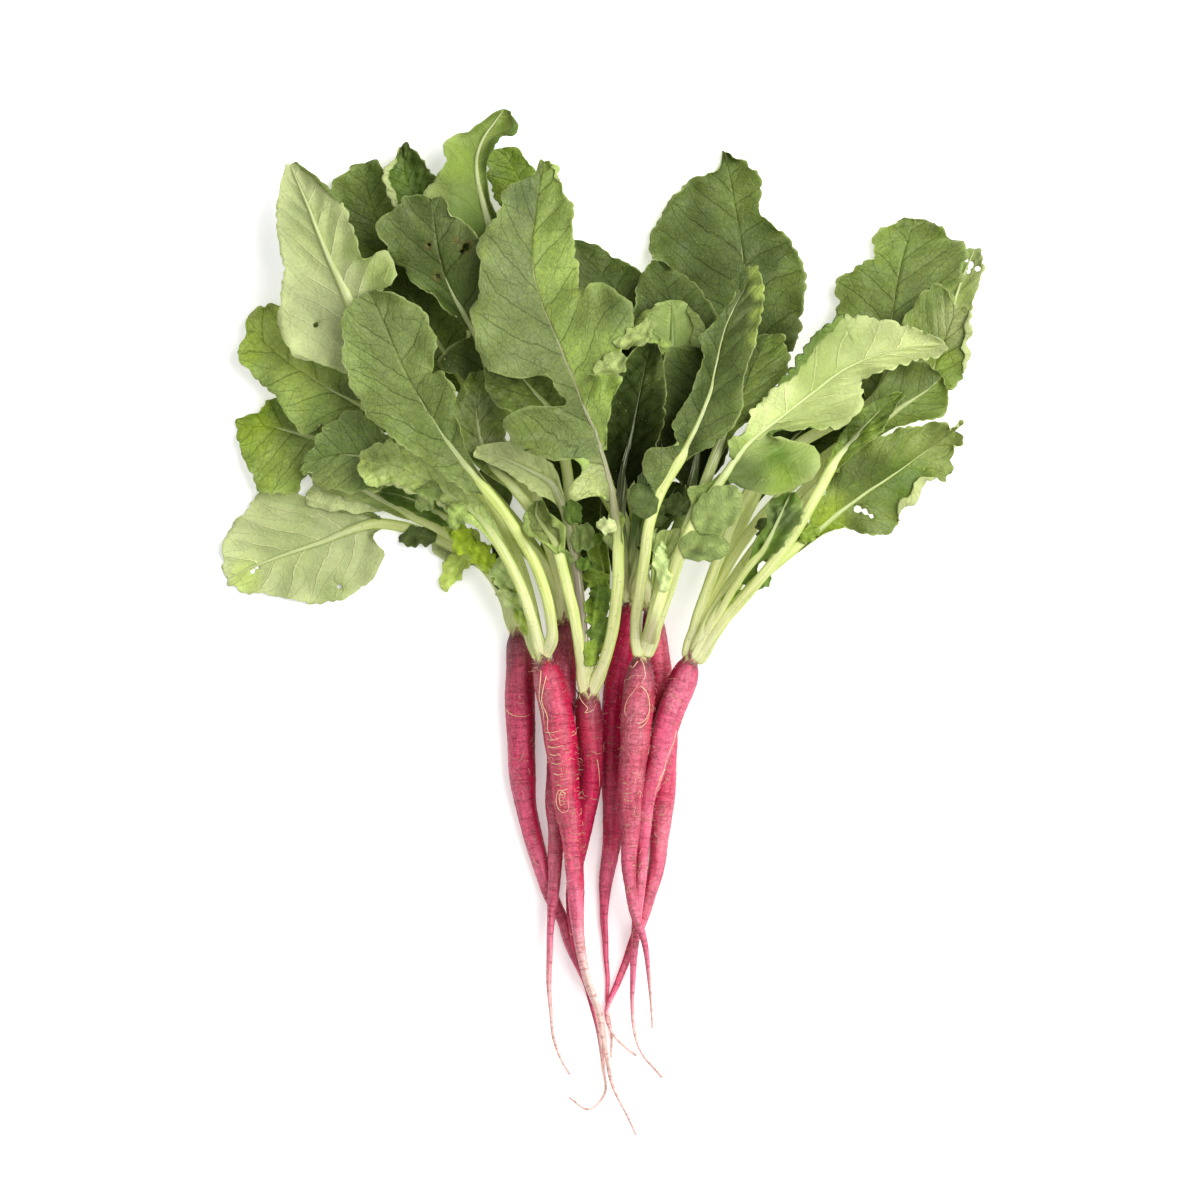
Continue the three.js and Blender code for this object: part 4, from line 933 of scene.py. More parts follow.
def strewnRootlets(spec, seed):
    # short wandering rootlets, mostly round the side that is seen
    draw = np.random.default_rng(seed)
    count, first, last = spec
    paths = []
    for _ in range(count):
        distance, degrees = draw.uniform(first, last), draw.uniform(-5, 185)
        heading = draw.uniform(0, 2 * math.pi)
        path = []
        for _ in range(draw.integers(4, 8)):
            path.append((distance, degrees))
            distance += math.cos(heading) * draw.uniform(0.5, 1.3)
            degrees += math.sin(heading) * draw.uniform(5, 15)
            heading += draw.uniform(-0.9, 0.9)
        paths.append(path)
    return paths


def addRootlet(pile, grid, path, seed, thickness):
    draw = np.random.default_rng(seed)
    knots = np.arange(len(path), dtype=float)
    at = np.linspace(0, len(path) - 1, len(path) * 4)
    path = throughKnots(at, knots, np.array(path, float), 0.0)
    heights = mm(0.08) + mm(0.3) * np.abs(waves(seed, at, 0 * at, 4.0)) * draw.uniform(0.2, 1)
    places = np.array([onSkin(grid, mm(d), t, h) for (d, t), h in zip(path, heights)])
    addTube(pile, places, thickness * blend(1.0, 0.35, np.linspace(0, 1, len(places)) ** 2), 6)


def addTube(pile, places, radius, sides):
    ahead = unit(np.gradient(places, axis=0))
    side = unit(np.cross(ahead, np.array([0.0, 0.0, 1.0])))
    up = np.cross(side, ahead)
    angle = anglesRound(sides)
    turned = np.cos(angle)[None, :, None] * side[:, None, :] + np.sin(angle)[None, :, None] * up[:, None, :]
    points = (places[:, None, :] + turned * radius[:, None, None]).reshape(-1, 3)
    faces = tubeFaces(len(places), sides, flip=True)
    pile.add(points, faces, 0, np.ones((len(points), 3)), np.zeros((len(points), 2)))


def makeRootlets(grids):
    pile = Pile()
    for order, (name, spec) in enumerate(rootlets.items()):
        grid = grids[name]
        for k, path in enumerate(strewnRootlets(spec["strewn"], 300 + order)):
            addRootlet(pile, grid, path, 500 + 40 * order + k, rootLook["strewnThickness"])
        for k, path in enumerate(spec["drawn"]):
            addRootlet(pile, grid, path, 900 + 40 * order + k, rootLook["drawnThickness"])
    piece = pile.finish("rootlets", [rootHairSkin])
    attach(piece, "root")


# ---- hairs and husks, scattered over the roots by geometry nodes ----


def newTree(name, inputs):
    tree = bpy.data.node_groups.new(name, "GeometryNodeTree")
    kinds = {int: "NodeSocketInt", float: "NodeSocketFloat"}
    tree.interface.new_socket("Geometry", in_out="INPUT", socket_type="NodeSocketGeometry")
    for label, value in inputs.items():
        socket = tree.interface.new_socket(label, in_out="INPUT", socket_type=kinds[type(value)])
        socket.default_value = value
    tree.interface.new_socket("Material", in_out="INPUT", socket_type="NodeSocketMaterial")
    tree.interface.new_socket("Geometry", in_out="OUTPUT", socket_type="NodeSocketGeometry")
    return tree, tree.nodes.new("NodeGroupInput").outputs, tree.nodes.new("NodeGroupOutput").inputs


def placed(tree, kind, **values):
    # a node with its sockets set by name; spaces in a name are written as underscores
    made = tree.nodes.new(kind)
    for label, value in values.items():
        name = label.replace("_", " ")
        feed(tree, next(each for each in made.inputs if each.enabled and each.name == name), value)
    return next(each for each in made.outputs if each.enabled)


def randomBetween(tree, low, high, seed):
    made = tree.nodes.new("FunctionNodeRandomValue")
    feed(tree, made.inputs[2], low)
    feed(tree, made.inputs[3], high)
    feed(tree, made.inputs[8], seed)
    return made.outputs[1]


def scatterOver(tree, given, where, shape, tilt):
    # copies of a shape over the faces where the named value is high, each turned and sized at random
    chance = placed(tree, "GeometryNodeInputNamedAttribute", Name=where)
    spread = tree.nodes.new("GeometryNodeDistributePointsOnFaces")
    feed(tree, spread.inputs["Mesh"], given["Geometry"])
    feed(tree, spread.inputs["Density"], times(tree, given["Density"], chance))
    feed(tree, spread.inputs["Seed"], given["Seed"])
    turn = placed(tree, "ShaderNodeCombineXYZ", X=randomBetween(tree, -tilt, tilt, 11),
                  Y=randomBetween(tree, -tilt, tilt, 12), Z=randomBetween(tree, 0.0, 6.28, 13))
    turn = placed(tree, "FunctionNodeEulerToRotation", Euler=turn)
    facing = tree.nodes.new("FunctionNodeRotateRotation")
    facing.rotation_space = "LOCAL"
    feed(tree, facing.inputs[0], spread.outputs["Rotation"])
    feed(tree, facing.inputs[1], turn)
    copies = placed(tree, "GeometryNodeInstanceOnPoints", Points=spread.outputs["Points"], Instance=shape,
                    Rotation=facing.outputs[0], Scale=randomBetween(tree, 0.5, 1.4, 14))
    real = placed(tree, "GeometryNodeRealizeInstances", Geometry=copies)
    smoothed = placed(tree, "GeometryNodeSetShadeSmooth", Geometry=real)
    return placed(tree, "GeometryNodeSetMaterial", Geometry=smoothed, Material=given["Material"])


def makeHairTree():
    # one hair is a bent, tapering tube that leans away from the skin
    tree, given, result = newTree(
        "rootHairTree", {"Density": 1.0, "Length": mm(2), "Lean": 0.6, "Thickness": mm(0.06), "Seed": 1})
    length = given["Length"]
    leaning = times(tree, length, given["Lean"])
    middle = placed(tree, "ShaderNodeCombineXYZ", X=times(tree, leaning, 0.2),
                    Z=times(tree, length, 0.5))
    end = placed(tree, "ShaderNodeCombineXYZ", X=leaning, Y=times(tree, length, 0.15),
                 Z=times(tree, length, 0.62))
    line = placed(tree, "GeometryNodeCurveQuadraticBezier", Resolution=5, Middle=middle, End=end,
                  Start=(0, 0, 0))
    along = placed(tree, "GeometryNodeSplineParameter")
    taper = calc(tree, "SUBTRACT", 1.0, times(tree, along, 0.75))
    line = placed(tree, "GeometryNodeSetCurveRadius", Curve=line, Radius=taper)
    ring = placed(tree, "GeometryNodeCurvePrimitiveCircle", Resolution=5, Radius=given["Thickness"])
    hair = placed(tree, "GeometryNodeCurveToMesh", Curve=line, Profile_Curve=ring, Fill_Caps=True,
                  Scale=placed(tree, "GeometryNodeInputRadius"))
    feed(tree, result["Geometry"], scatterOver(tree, given, "hairy", hair, 0.5))
    return tree


def makeHuskTree():
    # one husk is a flattened, pointed scale that curls up from the crown
    tree, given, result = newTree(
        "huskTree", {"Density": 1.0, "Length": mm(3), "Width": mm(1.2), "Curl": 0.5, "Seed": 1})
    ball = placed(tree, "GeometryNodeMeshUVSphere", Segments=8, Rings=7, Radius=1.0)
    parts = tree.nodes.new("ShaderNodeSeparateXYZ")
    feed(tree, parts.inputs[0], placed(tree, "GeometryNodeInputPosition"))
    x, y, z = parts.outputs
    reach = times(tree, plus(tree, y, 1.0), 0.5)
    taper = calc(tree, "SUBTRACT", 1.0, times(tree, reach, 0.55))
    rise = times(tree, calc(tree, "POWER", reach, 2.0), given["Curl"])
    rise = plus(tree, times(tree, rise, given["Length"]), times(tree, z, mm(0.12)))
    place = placed(tree, "ShaderNodeCombineXYZ",
                   X=times(tree, times(tree, x, taper), given["Width"]),
                   Y=times(tree, reach, given["Length"]), Z=rise)
    husk = placed(tree, "GeometryNodeSetPosition", Geometry=ball, Position=place)
    feed(tree, result["Geometry"], scatterOver(tree, given, "crown", husk, 0.35))
    return tree


def grow(name, tree, source, material, **sizes):
    # runs a tree over the source mesh and keeps the result as a plain piece
    holder = newObject(name + "Source", source.copy())
    modifier = holder.modifiers.new(name, "NODES")
    modifier.node_group = tree
    for item in tree.interface.items_tree:
        if item.in_out == "INPUT" and item.name in sizes:
            modifier[item.identifier] = sizes[item.name]
        elif item.in_out == "INPUT" and item.name == "Material":
            modifier[item.identifier] = material
    evaluated = holder.evaluated_get(bpy.context.evaluated_depsgraph_get())
    mesh = bpy.data.meshes.new_from_object(evaluated)
    for corner in mesh.vertices:
        corner.co.z = max(corner.co.z, mm(0.06))
    holder.modifiers.remove(modifier)
    bpy.data.objects.remove(holder)
    piece = newObject(name, mesh)
    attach(piece, "root")
    print(name, "grown:", len(mesh.polygons), "faces")


def rootSource(grids):
    # the skins of all the roots in one mesh, with where they are hairy and where their crowns are
    points, faces, hairy, crown = [], [], [], []
    for order, grid in enumerate(grids.values()):
        rows, columns = grid["turn"].shape
        faces += gridFaces(rows, columns, sum(len(part) for part in points), around=True)
        points.append(grid["points"].reshape(-1, 3))
        s = grid["along"]
        patches = smooth(-0.3, 0.9, waves(order + 60, grid["turn"] * mm(5), s, mm(30)))
        high = smooth(mm(1), mm(3), grid["points"][..., 2])
        fat = smooth(mm(1.6), mm(3.5), grid["radius"])[:, None] * high
        tuft = 1.5 * np.exp(-((s - mm(4)) / mm(3)) ** 2)
        hairy.append((patches * fat * smooth(mm(2), mm(12), s) + tuft).ravel())
        crown.append((np.exp(-((s - mm(1.6)) / mm(0.9)) ** 2) * high).ravel())
    mesh = bpy.data.meshes.new("rootSource")
    mesh.from_pydata(np.concatenate(points).tolist(), [], faces)
    addValues(mesh, "hairy", np.concatenate(hairy))
    addValues(mesh, "crown", np.concatenate(crown))
    return mesh


# ---- leaves ----

leafTones = {
    "mid": tone(129, 147, 80),
    "sage": tone(126, 141, 86),
    "spring": tone(200, 222, 112),
    "mint": tone(204, 224, 146),
    "olive": tone(118, 137, 62),
    "yellow": tone(154, 176, 92),
    "dark": tone(88, 104, 52),
    # the two darkest tones below are painted shade, for leaves and patches that lie deep in the bunch or
    # under other leaves
    "deep": tone(62, 76, 34),
    "paintedDarkShadow": tone(24, 31, 10),
    "bright": tone(130, 155, 56),
    "lime": tone(172, 198, 54),
    "blue": tone(130, 152, 84),
    "fern": tone(104, 132, 52),
    "pale": tone(172, 182, 124),
    "silver": tone(176, 186, 132),
    "straw": tone(202, 214, 146),
    "wan": tone(150, 166, 96),
    "grey": tone(120, 128, 96),
    "stalk": tone(230, 234, 160),
    "stalkBase": tone(234, 234, 180),
    "stalkGreen": tone(196, 212, 112),
    "stalkYellow": tone(216, 225, 128),
    "ribLight": tone(176, 186, 124),
    "ribPale": tone(206, 214, 158),
    "mauve": tone(146, 128, 122),
    "scorch": tone(128, 108, 62),
}

leafLook = {
    "step": mm(1.3),
    "halfColumns": 15,
    "thickness": mm(0.36),
    "toothLength": mm(5.6),
    "toothDepth": mm(1.0),
    "lobeLength": mm(15),
    "lobeDepth": mm(1.2),
    "rippleLength": mm(17),
    "rippleMm": 1.5,
    "waveLength": mm(10),
    "waveDepth": mm(0.32),
    "crumpleLength": mm(5.5),
    "quilt": mm(0.8),
    "veinGapMm": 9,
    "veinSweep": 0.75,
    "bladeFold": 0.54,         # on a blade the fold is nearer than this part of the way to the margin
    "firstRow": 0.8,           # the part of a stalk's width that its first row has
    "ribTipWidth": mm(0.9),
    "stalkSides": 16,
    "curlRadius": mm(0.9),
    "gap": mm(0.25),
    "mostLift": mm(6),
    "crownStack": mm(4.5),
    "crownReach": mm(18),
    "shortSink": mm(22),
    "longSink": mm(70),
}

# face is the side that is up; top and under are the tones of the two sides, topTip and underTip what they
# turn to at the end, left and right the tones of the two halves of the side that is up, which paint light on
# one half of the fold and shade on the other.
# zones are patches (x, y, radius in mm, tone, strength), and those in the darkest tones are painted shade;
# holes are (x, y, radius in mm); curls are (side, from, to, width in mm), where the blade's edge is rolled
# over onto it.
# stem and rib are the tones of the stalk and of the rib; gap is how far the side veins are apart, in mm,
# sweep how far they lean towards the tip and light how pale they are; ripple and crumple are heights in
# mm; quilt, lobe and tooth multiply the usual ones; seat is where the blade joins the rib, 1 at its top.
leaves = {
    "leaf_a1": dict(
        face="under", under="silver", ripple=1.2, quilt=1.5, gap=13, sweep=1.2,
        curls=[("right", 0.52, 0.7, 3)],
        zones=[(-161, 23, 9, "lime", 0.4), (-122, 71, 22, "wan", 0.7), (-142, 36, 18, "wan", 0.4),
               (-122, 17, 9, "fern", 0.35)],
        holes=[(-158, 25, 0.9), (-156, 27, 0.7), (-119, 18, 0.8)]),
    "leaf_a2": dict(face="under", under="wan"),
    "leaf_a3": dict(top="fern", crumple=0.9),
    "leaf_c7": dict(top="deep"),
    "leaf_e6": dict(top="paintedDarkShadow"),
    "leaf_h8": dict(top="deep"),
    "leaf_c1": dict(
        top="bright", lobe=2.2, tooth=1.5, ripple=2.0, sweep=0.5,
        zones=[(-158, 92, 13, "lime", 0.5), (-150, 72, 14, "spring", 0.3), (-122, 84, 27, "wan", 0.6)]),
    # its first spring patch is painted light, lifting the part that lies in the shadow of leaf_b2
    "leaf_c2": dict(
        top="yellow", lobe=1.8, ripple=2.2, gap=15,
        zones=[(-148, 132, 19, "spring", 0.85), (-160, 126, 9, "lime", 0.5), (-134, 110, 14, "spring", 0.5),
               (-116, 98, 16, "mid", 0.6), (-112, 106, 8, "dark", 0.7)]),
    "leaf_c3": dict(top="olive", ripple=2.0, zones=[(-95, 156, 22, "deep", 0.8)]),
    "leaf_c4": dict(top="blue", lobe=2.2, tooth=1.6, ripple=2.0, zones=[(-125, 66, 12, "wan", 0.8)]),
    "leaf_g1": dict(
        top="dark", crumple=1.3, ripple=2.6, tooth=1.6, curls=[("left", 0.8, 1.0, 4)],
        zones=[(-89, 200, 14, "fern", 0.95), (-76, 186, 7, "bright", 0.8)]),
    "leaf_g2": dict(top="olive", topTip="bright", zones=[(-46, 197, 8, "lime", 0.3)]),
    "leaf_e1": dict(
        top="dark", lobe=1.7, tooth=1.3, gap=15, ripple=2.2,
        zones=[(62, 197, 17, "olive", 0.7), (63, 170, 14, "sage", 0.2), (82, 152, 14, "olive", 0.45),
               (31, 102, 28, "paintedDarkShadow", 0.85), (71, 120, 22, "deep", 0.7)]),
    "leaf_g3": dict(
        face="under", under="dark", underTip="olive", top="fern", lobe=2.4, ripple=2.0, gap=11,
        curls=[("right", 0.86, 1.0, 3)],
        zones=[(-68, 210, 12, "bright", 0.6), (-68, 179, 12, "deep", 0.35), (-61, 184, 12, "fern", 0.4)]),
    "leaf_c5": dict(
        top="dark", ripple=2.2, lobe=2.4, gap=14,
        zones=[(-91, 185, 12, "sage", 0.4), (-70, 181, 12, "sage", 0.4), (-77, 147, 14, "fern", 0.3),
               (-80, 125, 16, "paintedDarkShadow", 0.85), (-61, 171, 3.4, "scorch", 0.8), (-74, 158, 2.6, "scorch", 0.7),
               (-78, 172, 2.4, "scorch", 0.7), (-66, 174, 2.0, "scorch", 0.6)],
        holes=[(-61, 171, 1.6), (-74, 158, 1.0), (-63, 169, 0.9), (-78, 172, 0.7)]),
    "leaf_e3": dict(
        stem="fern", rib="deep", top="dark", topTip="dark", right="olive",
        zones=[(8, 100, 36, "paintedDarkShadow", 1.0)]),
    "leaf_e4": dict(
        stem="fern", rib="deep", top="deep", topTip="dark", ripple=2.4,
        zones=[(22, 100, 34, "paintedDarkShadow", 0.95)]),
    "leaf_g5": dict(
        stem="fern", rib="fern", face="under", under="fern", underTip="mid", ripple=1.6,
        zones=[(30, 100, 22, "paintedDarkShadow", 0.9)],
        curls=[("left", 0.7, 0.98, 5), ("right", 0.7, 0.98, 5)]),
    "leaf_g4": dict(stem="fern", top="deep", zones=[(38, 78, 24, "paintedDarkShadow", 0.8)]),
    "leaf_e2": dict(
        stem="fern", rib="deep", top="deep", ripple=3.0, crumple=0.8,
        zones=[(22, 106, 12, "dark", 0.6), (17, 70, 34, "paintedDarkShadow", 0.9)]),
    "leaf_e5": dict(top="deep", crumple=1.5, ripple=2.6, tooth=2.0, zones=[(24, 48, 8, "fern", 0.5)]),
    "leaf_c6": dict(
        top="olive", ripple=2.2, crumple=0.7,
        zones=[(-56, 98, 10, "grey", 0.5), (-59, 89, 10, "wan", 0.4), (-37, 75, 14, "silver", 0.9),
               (-50, 80, 9, "silver", 0.8)],
        holes=[(-50, 80, 0.5), (-46, 76, 0.6), (-41, 73, 0.4), (-36, 68, 0.6), (-53, 77, 0.4)]),
    "leaf_h1": dict(
        face="under", under="pale", top="olive", ripple=2.2, gap=12, tooth=1.6,
        zones=[(161, 152, 12, "olive", 0.8), (163, 167, 9, "fern", 0.7), (143, 152, 14, "grey", 0.8),
               (146, 146, 9, "deep", 0.6)],
        holes=[(167, 164, 1.4), (170, 162, 1.2), (165, 166, 0.9), (166, 161, 1.0)]),
    "leaf_h2": dict(
        top="mid", left="olive", lobe=2.6, tooth=1.8, ripple=2.4, gap=13,
        zones=[(148, 176, 13, "olive", 0.5), (136, 134, 12, "deep", 0.6), (132, 175, 11, "yellow", 0.45),
               (124, 150, 14, "olive", 0.5)]),
    "leaf_h3": dict(
        top="olive", ripple=2.0, lobe=1.8, curls=[("right", 0.85, 0.98, 3)],
        zones=[(150, 113, 10, "lime", 0.35), (125, 102, 16, "deep", 0.7), (158, 138, 11, "pale", 0.8),
               (160, 114, 9, "yellow", 0.7)]),
    "leaf_h4": dict(
        top="mid", ripple=2.4, right="olive", left="dark", light=0.5, seat=0.6,
        curls=[("left", 0.55, 0.8, 3)],
        zones=[(136, 107, 16, "olive", 0.7), (112, 89, 14, "bright", 0.6)]),
    "leaf_h5": dict(
        top="olive", ripple=2.6, lobe=2.4, tooth=1.6, gap=15, curls=[("right", 0.72, 0.86, 4)], rib="straw",
        light=0.9, seat=0.42,
        zones=[(150, 80, 15, "wan", 0.6), (123, 46, 10, "mid", 0.8), (110, 71, 12, "dark", 0.7),
               (101, 50, 12, "lime", 0.5), (135, 66, 12, "fern", 0.9), (123, 70, 10, "dark", 0.5)],
        holes=[(115, 53, 1.6), (118, 52, 1.4), (121, 50, 1.0), (156, 67, 1.0)]),
    "leaf_h6": dict(
        top="bright", ripple=2.0, crumple=0.6, light=0.4,
        zones=[(121, 75, 12, "olive", 0.6), (110, 91, 11, "deep", 0.7), (128, 98, 12, "dark", 0.5)]),
    "leaf_h7": dict(face="under", under="fern", top="fern", crumple=1.8, ripple=3.0, tooth=1.8,
                    zones=[(80, 50, 8, "grey", 0.5)]),
    "leaf_f1": dict(top="dark", ripple=2.2, right="olive", zones=[(44, 71, 22, "deep", 0.6)]),
    "leaf_f2": dict(face="under", under="wan", crumple=1.0),
    "leaf_f3": dict(
        face="under", under="wan", underTip="pale", left="yellow", top="fern", ripple=2.2, quilt=1.5, gap=14,
        tooth=2.4, sweep=1.0, curls=[("left", 0.62, 0.8, 5)], rib="straw",
        zones=[(100, 132, 17, "mid", 0.6), (80, 105, 12, "straw", 0.9), (70, 93, 11, "straw", 0.8),
               (135, 123, 14, "straw", 0.5), (116, 104, 12, "straw", 0.5), (97, 114, 10, "wan", 0.9),
               (80, 73, 14, "fern", 1.0), (94, 77, 12, "yellow", 0.85), (80, 64, 11, "bright", 0.9),
               (61, 68, 15, "dark", 0.95), (44, 57, 12, "mid", 0.95), (51, 37, 13, "olive", 0.95)]),
    # the small spring patches along its right margin are painted light, the glow of the thin margin lit from
    # behind
    "leaf_f4": dict(
        top="dark", under="wan", ripple=0.9, gap=14, rib="straw", seat=0.55,
        zones=[(60, 143, 8, "sage", 0.5), (70, 160, 5, "spring", 0.6), (71, 150, 5, "spring", 0.7),
               (70, 140, 5, "spring", 0.6), (69, 130, 5, "spring", 0.5), (31, 66, 14, "mid", 0.85),
               (44, 93, 10, "sage", 0.3)]),
    "leaf_b1": dict(top="spring", crumple=2.0, ripple=2.6, tooth=2.2, zones=[(-55, 30, 12, "yellow", 0.5)]),
    "leaf_b2": dict(
        face="under", under="silver", stem="stalkYellow", gap=14, sweep=1.35, ripple=1.6, quilt=1.2,
        curls=[("right", 0.9, 1.0, 2)],
        zones=[(-126, 178, 20, "wan", 0.4), (-100, 158, 12, "wan", 1.0), (-122, 125, 14, "silver", 0.4),
               (-110, 170, 8, "yellow", 0.5)],
        holes=[(-129, 136, 0.9)]),
    "leaf_b3": dict(
        top="mint", crumple=0.9, ripple=2.8, tooth=1.8, light=0.8, quilt=1.4,
        curls=[("left", 0.62, 0.9, 2.5)],
        zones=[(-103, 75, 9, "wan", 0.6), (-73, 52, 9, "bright", 0.4)]),
    "leaf_b4": dict(
        top="mid", stem="stalkYellow", gap=16, ripple=1.8, lobe=1.4, sweep=0.85,
        zones=[(-91, 134, 22, "sage", 0.4), (-73, 93, 16, "olive", 0.45), (-113, 116, 10, "yellow", 0.3)]),
    "leaf_d1": dict(top="olive", ripple=2.6, crumple=0.8, zones=[(-46, 109, 12, "dark", 0.6)]),
    "leaf_d2": dict(
        face="under", under="straw", stem="mauve", crumple=0.6, zones=[(-46, 75, 14, "silver", 0.6)]),
    "leaf_d3": dict(top="wan", under="yellow", ripple=2.4, crumple=0.8,
                    curls=[("left", 0.55, 0.95, 4), ("right", 0.55, 0.95, 4)]),
    "leaf_d4": dict(top="bright", crumple=2.4, ripple=3.0, tooth=2.4, zones=[(-4, 12, 8, "lime", 0.4)]),
    "leaf_d5": dict(
        top="mid", left="sage", right="yellow", gap=17, ripple=1.9, lobe=1.6, tooth=1.2, rib="mauve",
        under="yellow", seat=0.62, curls=[("right", 0.93, 1.0, 2)],
        zones=[(-34, 194, 9, "dark", 0.5), (1, 143, 15, "mid", 0.9), (18, 147, 18, "dark", 0.6),
               (4, 107, 10, "lime", 0.3), (-8, 64, 13, "straw", 1.0), (-28, 86, 20, "olive", 0.6),
               (8, 125, 10, "yellow", 0.4)]),
}

# leaflets are of two kinds, told apart by their width
leafletLook = {
    "smallWidthMm": 13,
    "bow": mm(1.5),
    "cup": mm(0.8),
    "fineLength": mm(2.6),
    "cloudLength": mm(6),
    "mostLift": mm(9),
    "small": dict(rough=mm(1.0), lobed=0.4, torn=0.12, fine=0.4, crumpleLength=mm(5)),
    "large": dict(rough=mm(0.5), lobed=0.1, torn=0.05, fine=0.1, crumpleLength=mm(12)),
}

# small crumpled leaflets along the stalks: (x, y, heading in degrees, length, width in mm, tone);
# one that is free starts at its place, and the others at the stalk nearest to it
leaflets = {
    "leaf_a1": [(-73, 46, 172, 17, 9, "dark"), (-58, 34, 205, 20, 10, "spring"),
                (-92, 57, 163, 42, 20, "straw", "free")],
    "leaf_c7": [(-54, 72, 300, 30, 15, "dark", "free"), (-43, 12, 98, 34, 9, "dark", "free")],
    "leaf_d5": [(4, 46, 195, 9, 7, "straw"), (22, 138, 238, 20, 9, "wan", "free"),
                (10, 122, 222, 16, 10, "wan", "free")],
    "leaf_d2": [(-14, 31, 178, 9, 6, "mid"), (-9, 29, 5, 10, 6, "fern"), (-6, 39, 25, 12, 11, "mid"),
                (-14, 48, 50, 10, 9, "fern")],
    "leaf_e5": [(17, 30, 60, 11, 10, "deep"), (15, 48, 100, 12, 10, "dark"), (22, 57, 20, 12, 10, "dark")],
    "leaf_f4": [(27, 16, 84, 28, 8, "mint", "free"), (30, 48, 120, 16, 13, "dark")],
    "leaf_f3": [(34, 50, 30, 26, 19, "mid"), (33, 35, 20, 22, 15, "mid")],
    "leaf_h4": [(72, 30, 30, 12, 8, "fern"), (67, 17, 35, 11, 7, "fern"), (85, 44, 330, 10, 8, "fern"),
                (76, 37, 95, 12, 9, "dark"), (60, 7, 40, 12, 6, "bright")],
    "leaf_h5": [(96, 30, 60, 10, 7, "bright"), (76, 12, 20, 9, 6, "fern")],
    "leaf_b1": [(-40, 4, 112, 15, 8, "mint"), (-46, 14, 118, 15, 9, "mint"), (-52, 24, 140, 15, 10, "lime"),
                (-60, 32, 150, 14, 11, "lime"), (-50, 22, 62, 10, 8, "mint"),
                (-36, -4, 105, 13, 6, "spring")],
    "leaf_b3": [(-77, 57, 210, 14, 10, "mid"), (-66, 48, 215, 12, 9, "yellow")],
    "leaf_d4": [(-6, -17, 88, 16, 8, "bright"), (-4, -8, 72, 15, 9, "fern"), (-5, 0, 98, 15, 9, "bright"),
                (-6, 9, 80, 14, 9, "fern"), (-8, 18, 120, 12, 9, "bright")],
    "leaf_g5": [(17, 127, 200, 14, 9, "yellow"), (9, 120, 190, 12, 10, "mid")],
}


def facesUp(look):
    return look.get("face", "upper") == "upper"


def topUnder(x, y, owner, plant=None):
    # the height of what already lies at a place, leaving out one piece or a whole plant
    highest = 0.0
    for other, low, high, tree in laidPieces:
        outside = not (low[0] <= x <= high[0] and low[1] <= y <= high[1])
        if other == owner or other[5] == plant or high[2] <= highest or outside:
            continue
        hit = tree.ray_cast(Vector((x, y, 1.0)), Vector((0, 0, -1)))
        if hit[0] is not None:
            highest = max(highest, hit[0].z)
    return highest


def eased(need, passes):
    # spreads a height over its neighbours without ever lowering it
    lift = need.copy()
    for _ in range(passes):
        padded = np.pad(lift, 1, mode="edge")
        around = (padded[:-2, 1:-1] + padded[2:, 1:-1] + padded[1:-1, :-2] + padded[1:-1, 2:]) / 4
        lift = np.maximum(need, around)
    return lift


def liftOver(grid, owner, most):
    # how far each point has to rise to clear what lies under it
    thickness = leafLook["thickness"]
    need = np.zeros(grid.shape[:2])
    for i in range(grid.shape[0]):
        for j in range(grid.shape[1]):
            x, y, z = grid[i, j]
            top = topUnder(x, y, owner)
            need[i, j] = top + leafLook["gap"] + thickness - z if top > 0 else thickness * 0.6 - z
    return eased(np.clip(need, 0, most), 12)


def softened(path, passes=5):
    # rounds the corners of a path and leaves its ends
    path = path.copy()
    for _ in range(passes):
        path[1:-1] = (path[:-2] + 2 * path[1:-1] + path[2:]) / 4
    return path


def roundedTip(shape):
    # rows that close the end of the blade with a rounded tip
    rib = shape["rib"]
    ahead = rib[-1] - rib[-4]
    ahead = ahead / np.linalg.norm(ahead)
    edges = [half["edge"][-1] - rib[-1] for half in shape["halves"]]
    reach = np.mean([np.linalg.norm(edge) for edge in edges])
    bulge = max(0.42 * reach, 1.1 * max(edge @ ahead for edge in edges), mm(1))
    turns = np.linspace(0, 1.5, max(int(bulge / leafLook["step"]) * 2, 6))[1:]
    rise, shrink = np.sin(turns) * bulge, np.cos(turns)
    tip = rib[-1] + rise[:, None] * ahead
    shape["rib"] = np.concatenate([rib, tip])
    shape["along"] = np.concatenate([shape["along"], shape["along"][-1] + rise])
    middle = shape["ribLow"][-1] + shape["height"][-1] * 0.6
    for half, edge in zip(shape["halves"], edges):
        half["edge"] = np.concatenate([half["edge"], tip + shrink[:, None] * edge])
        for key in ("foldZ", "edgeZ"):
            half[key] = np.concatenate([half[key], blend(middle, half[key][-1], shrink)])
        half["blade"] = np.concatenate([half["blade"], np.ones(len(turns))])
    for key in ("width", "height"):
        shape[key] = np.concatenate([shape[key], shape[key][-1] * blend(0.25, 1.0, shrink)])
    lowest = middle - 0.6 * shape["height"][-len(turns):]
    shape["ribLow"] = np.concatenate([shape["ribLow"], lowest])
    shape["total"] = shape["along"][-1]
    return shape


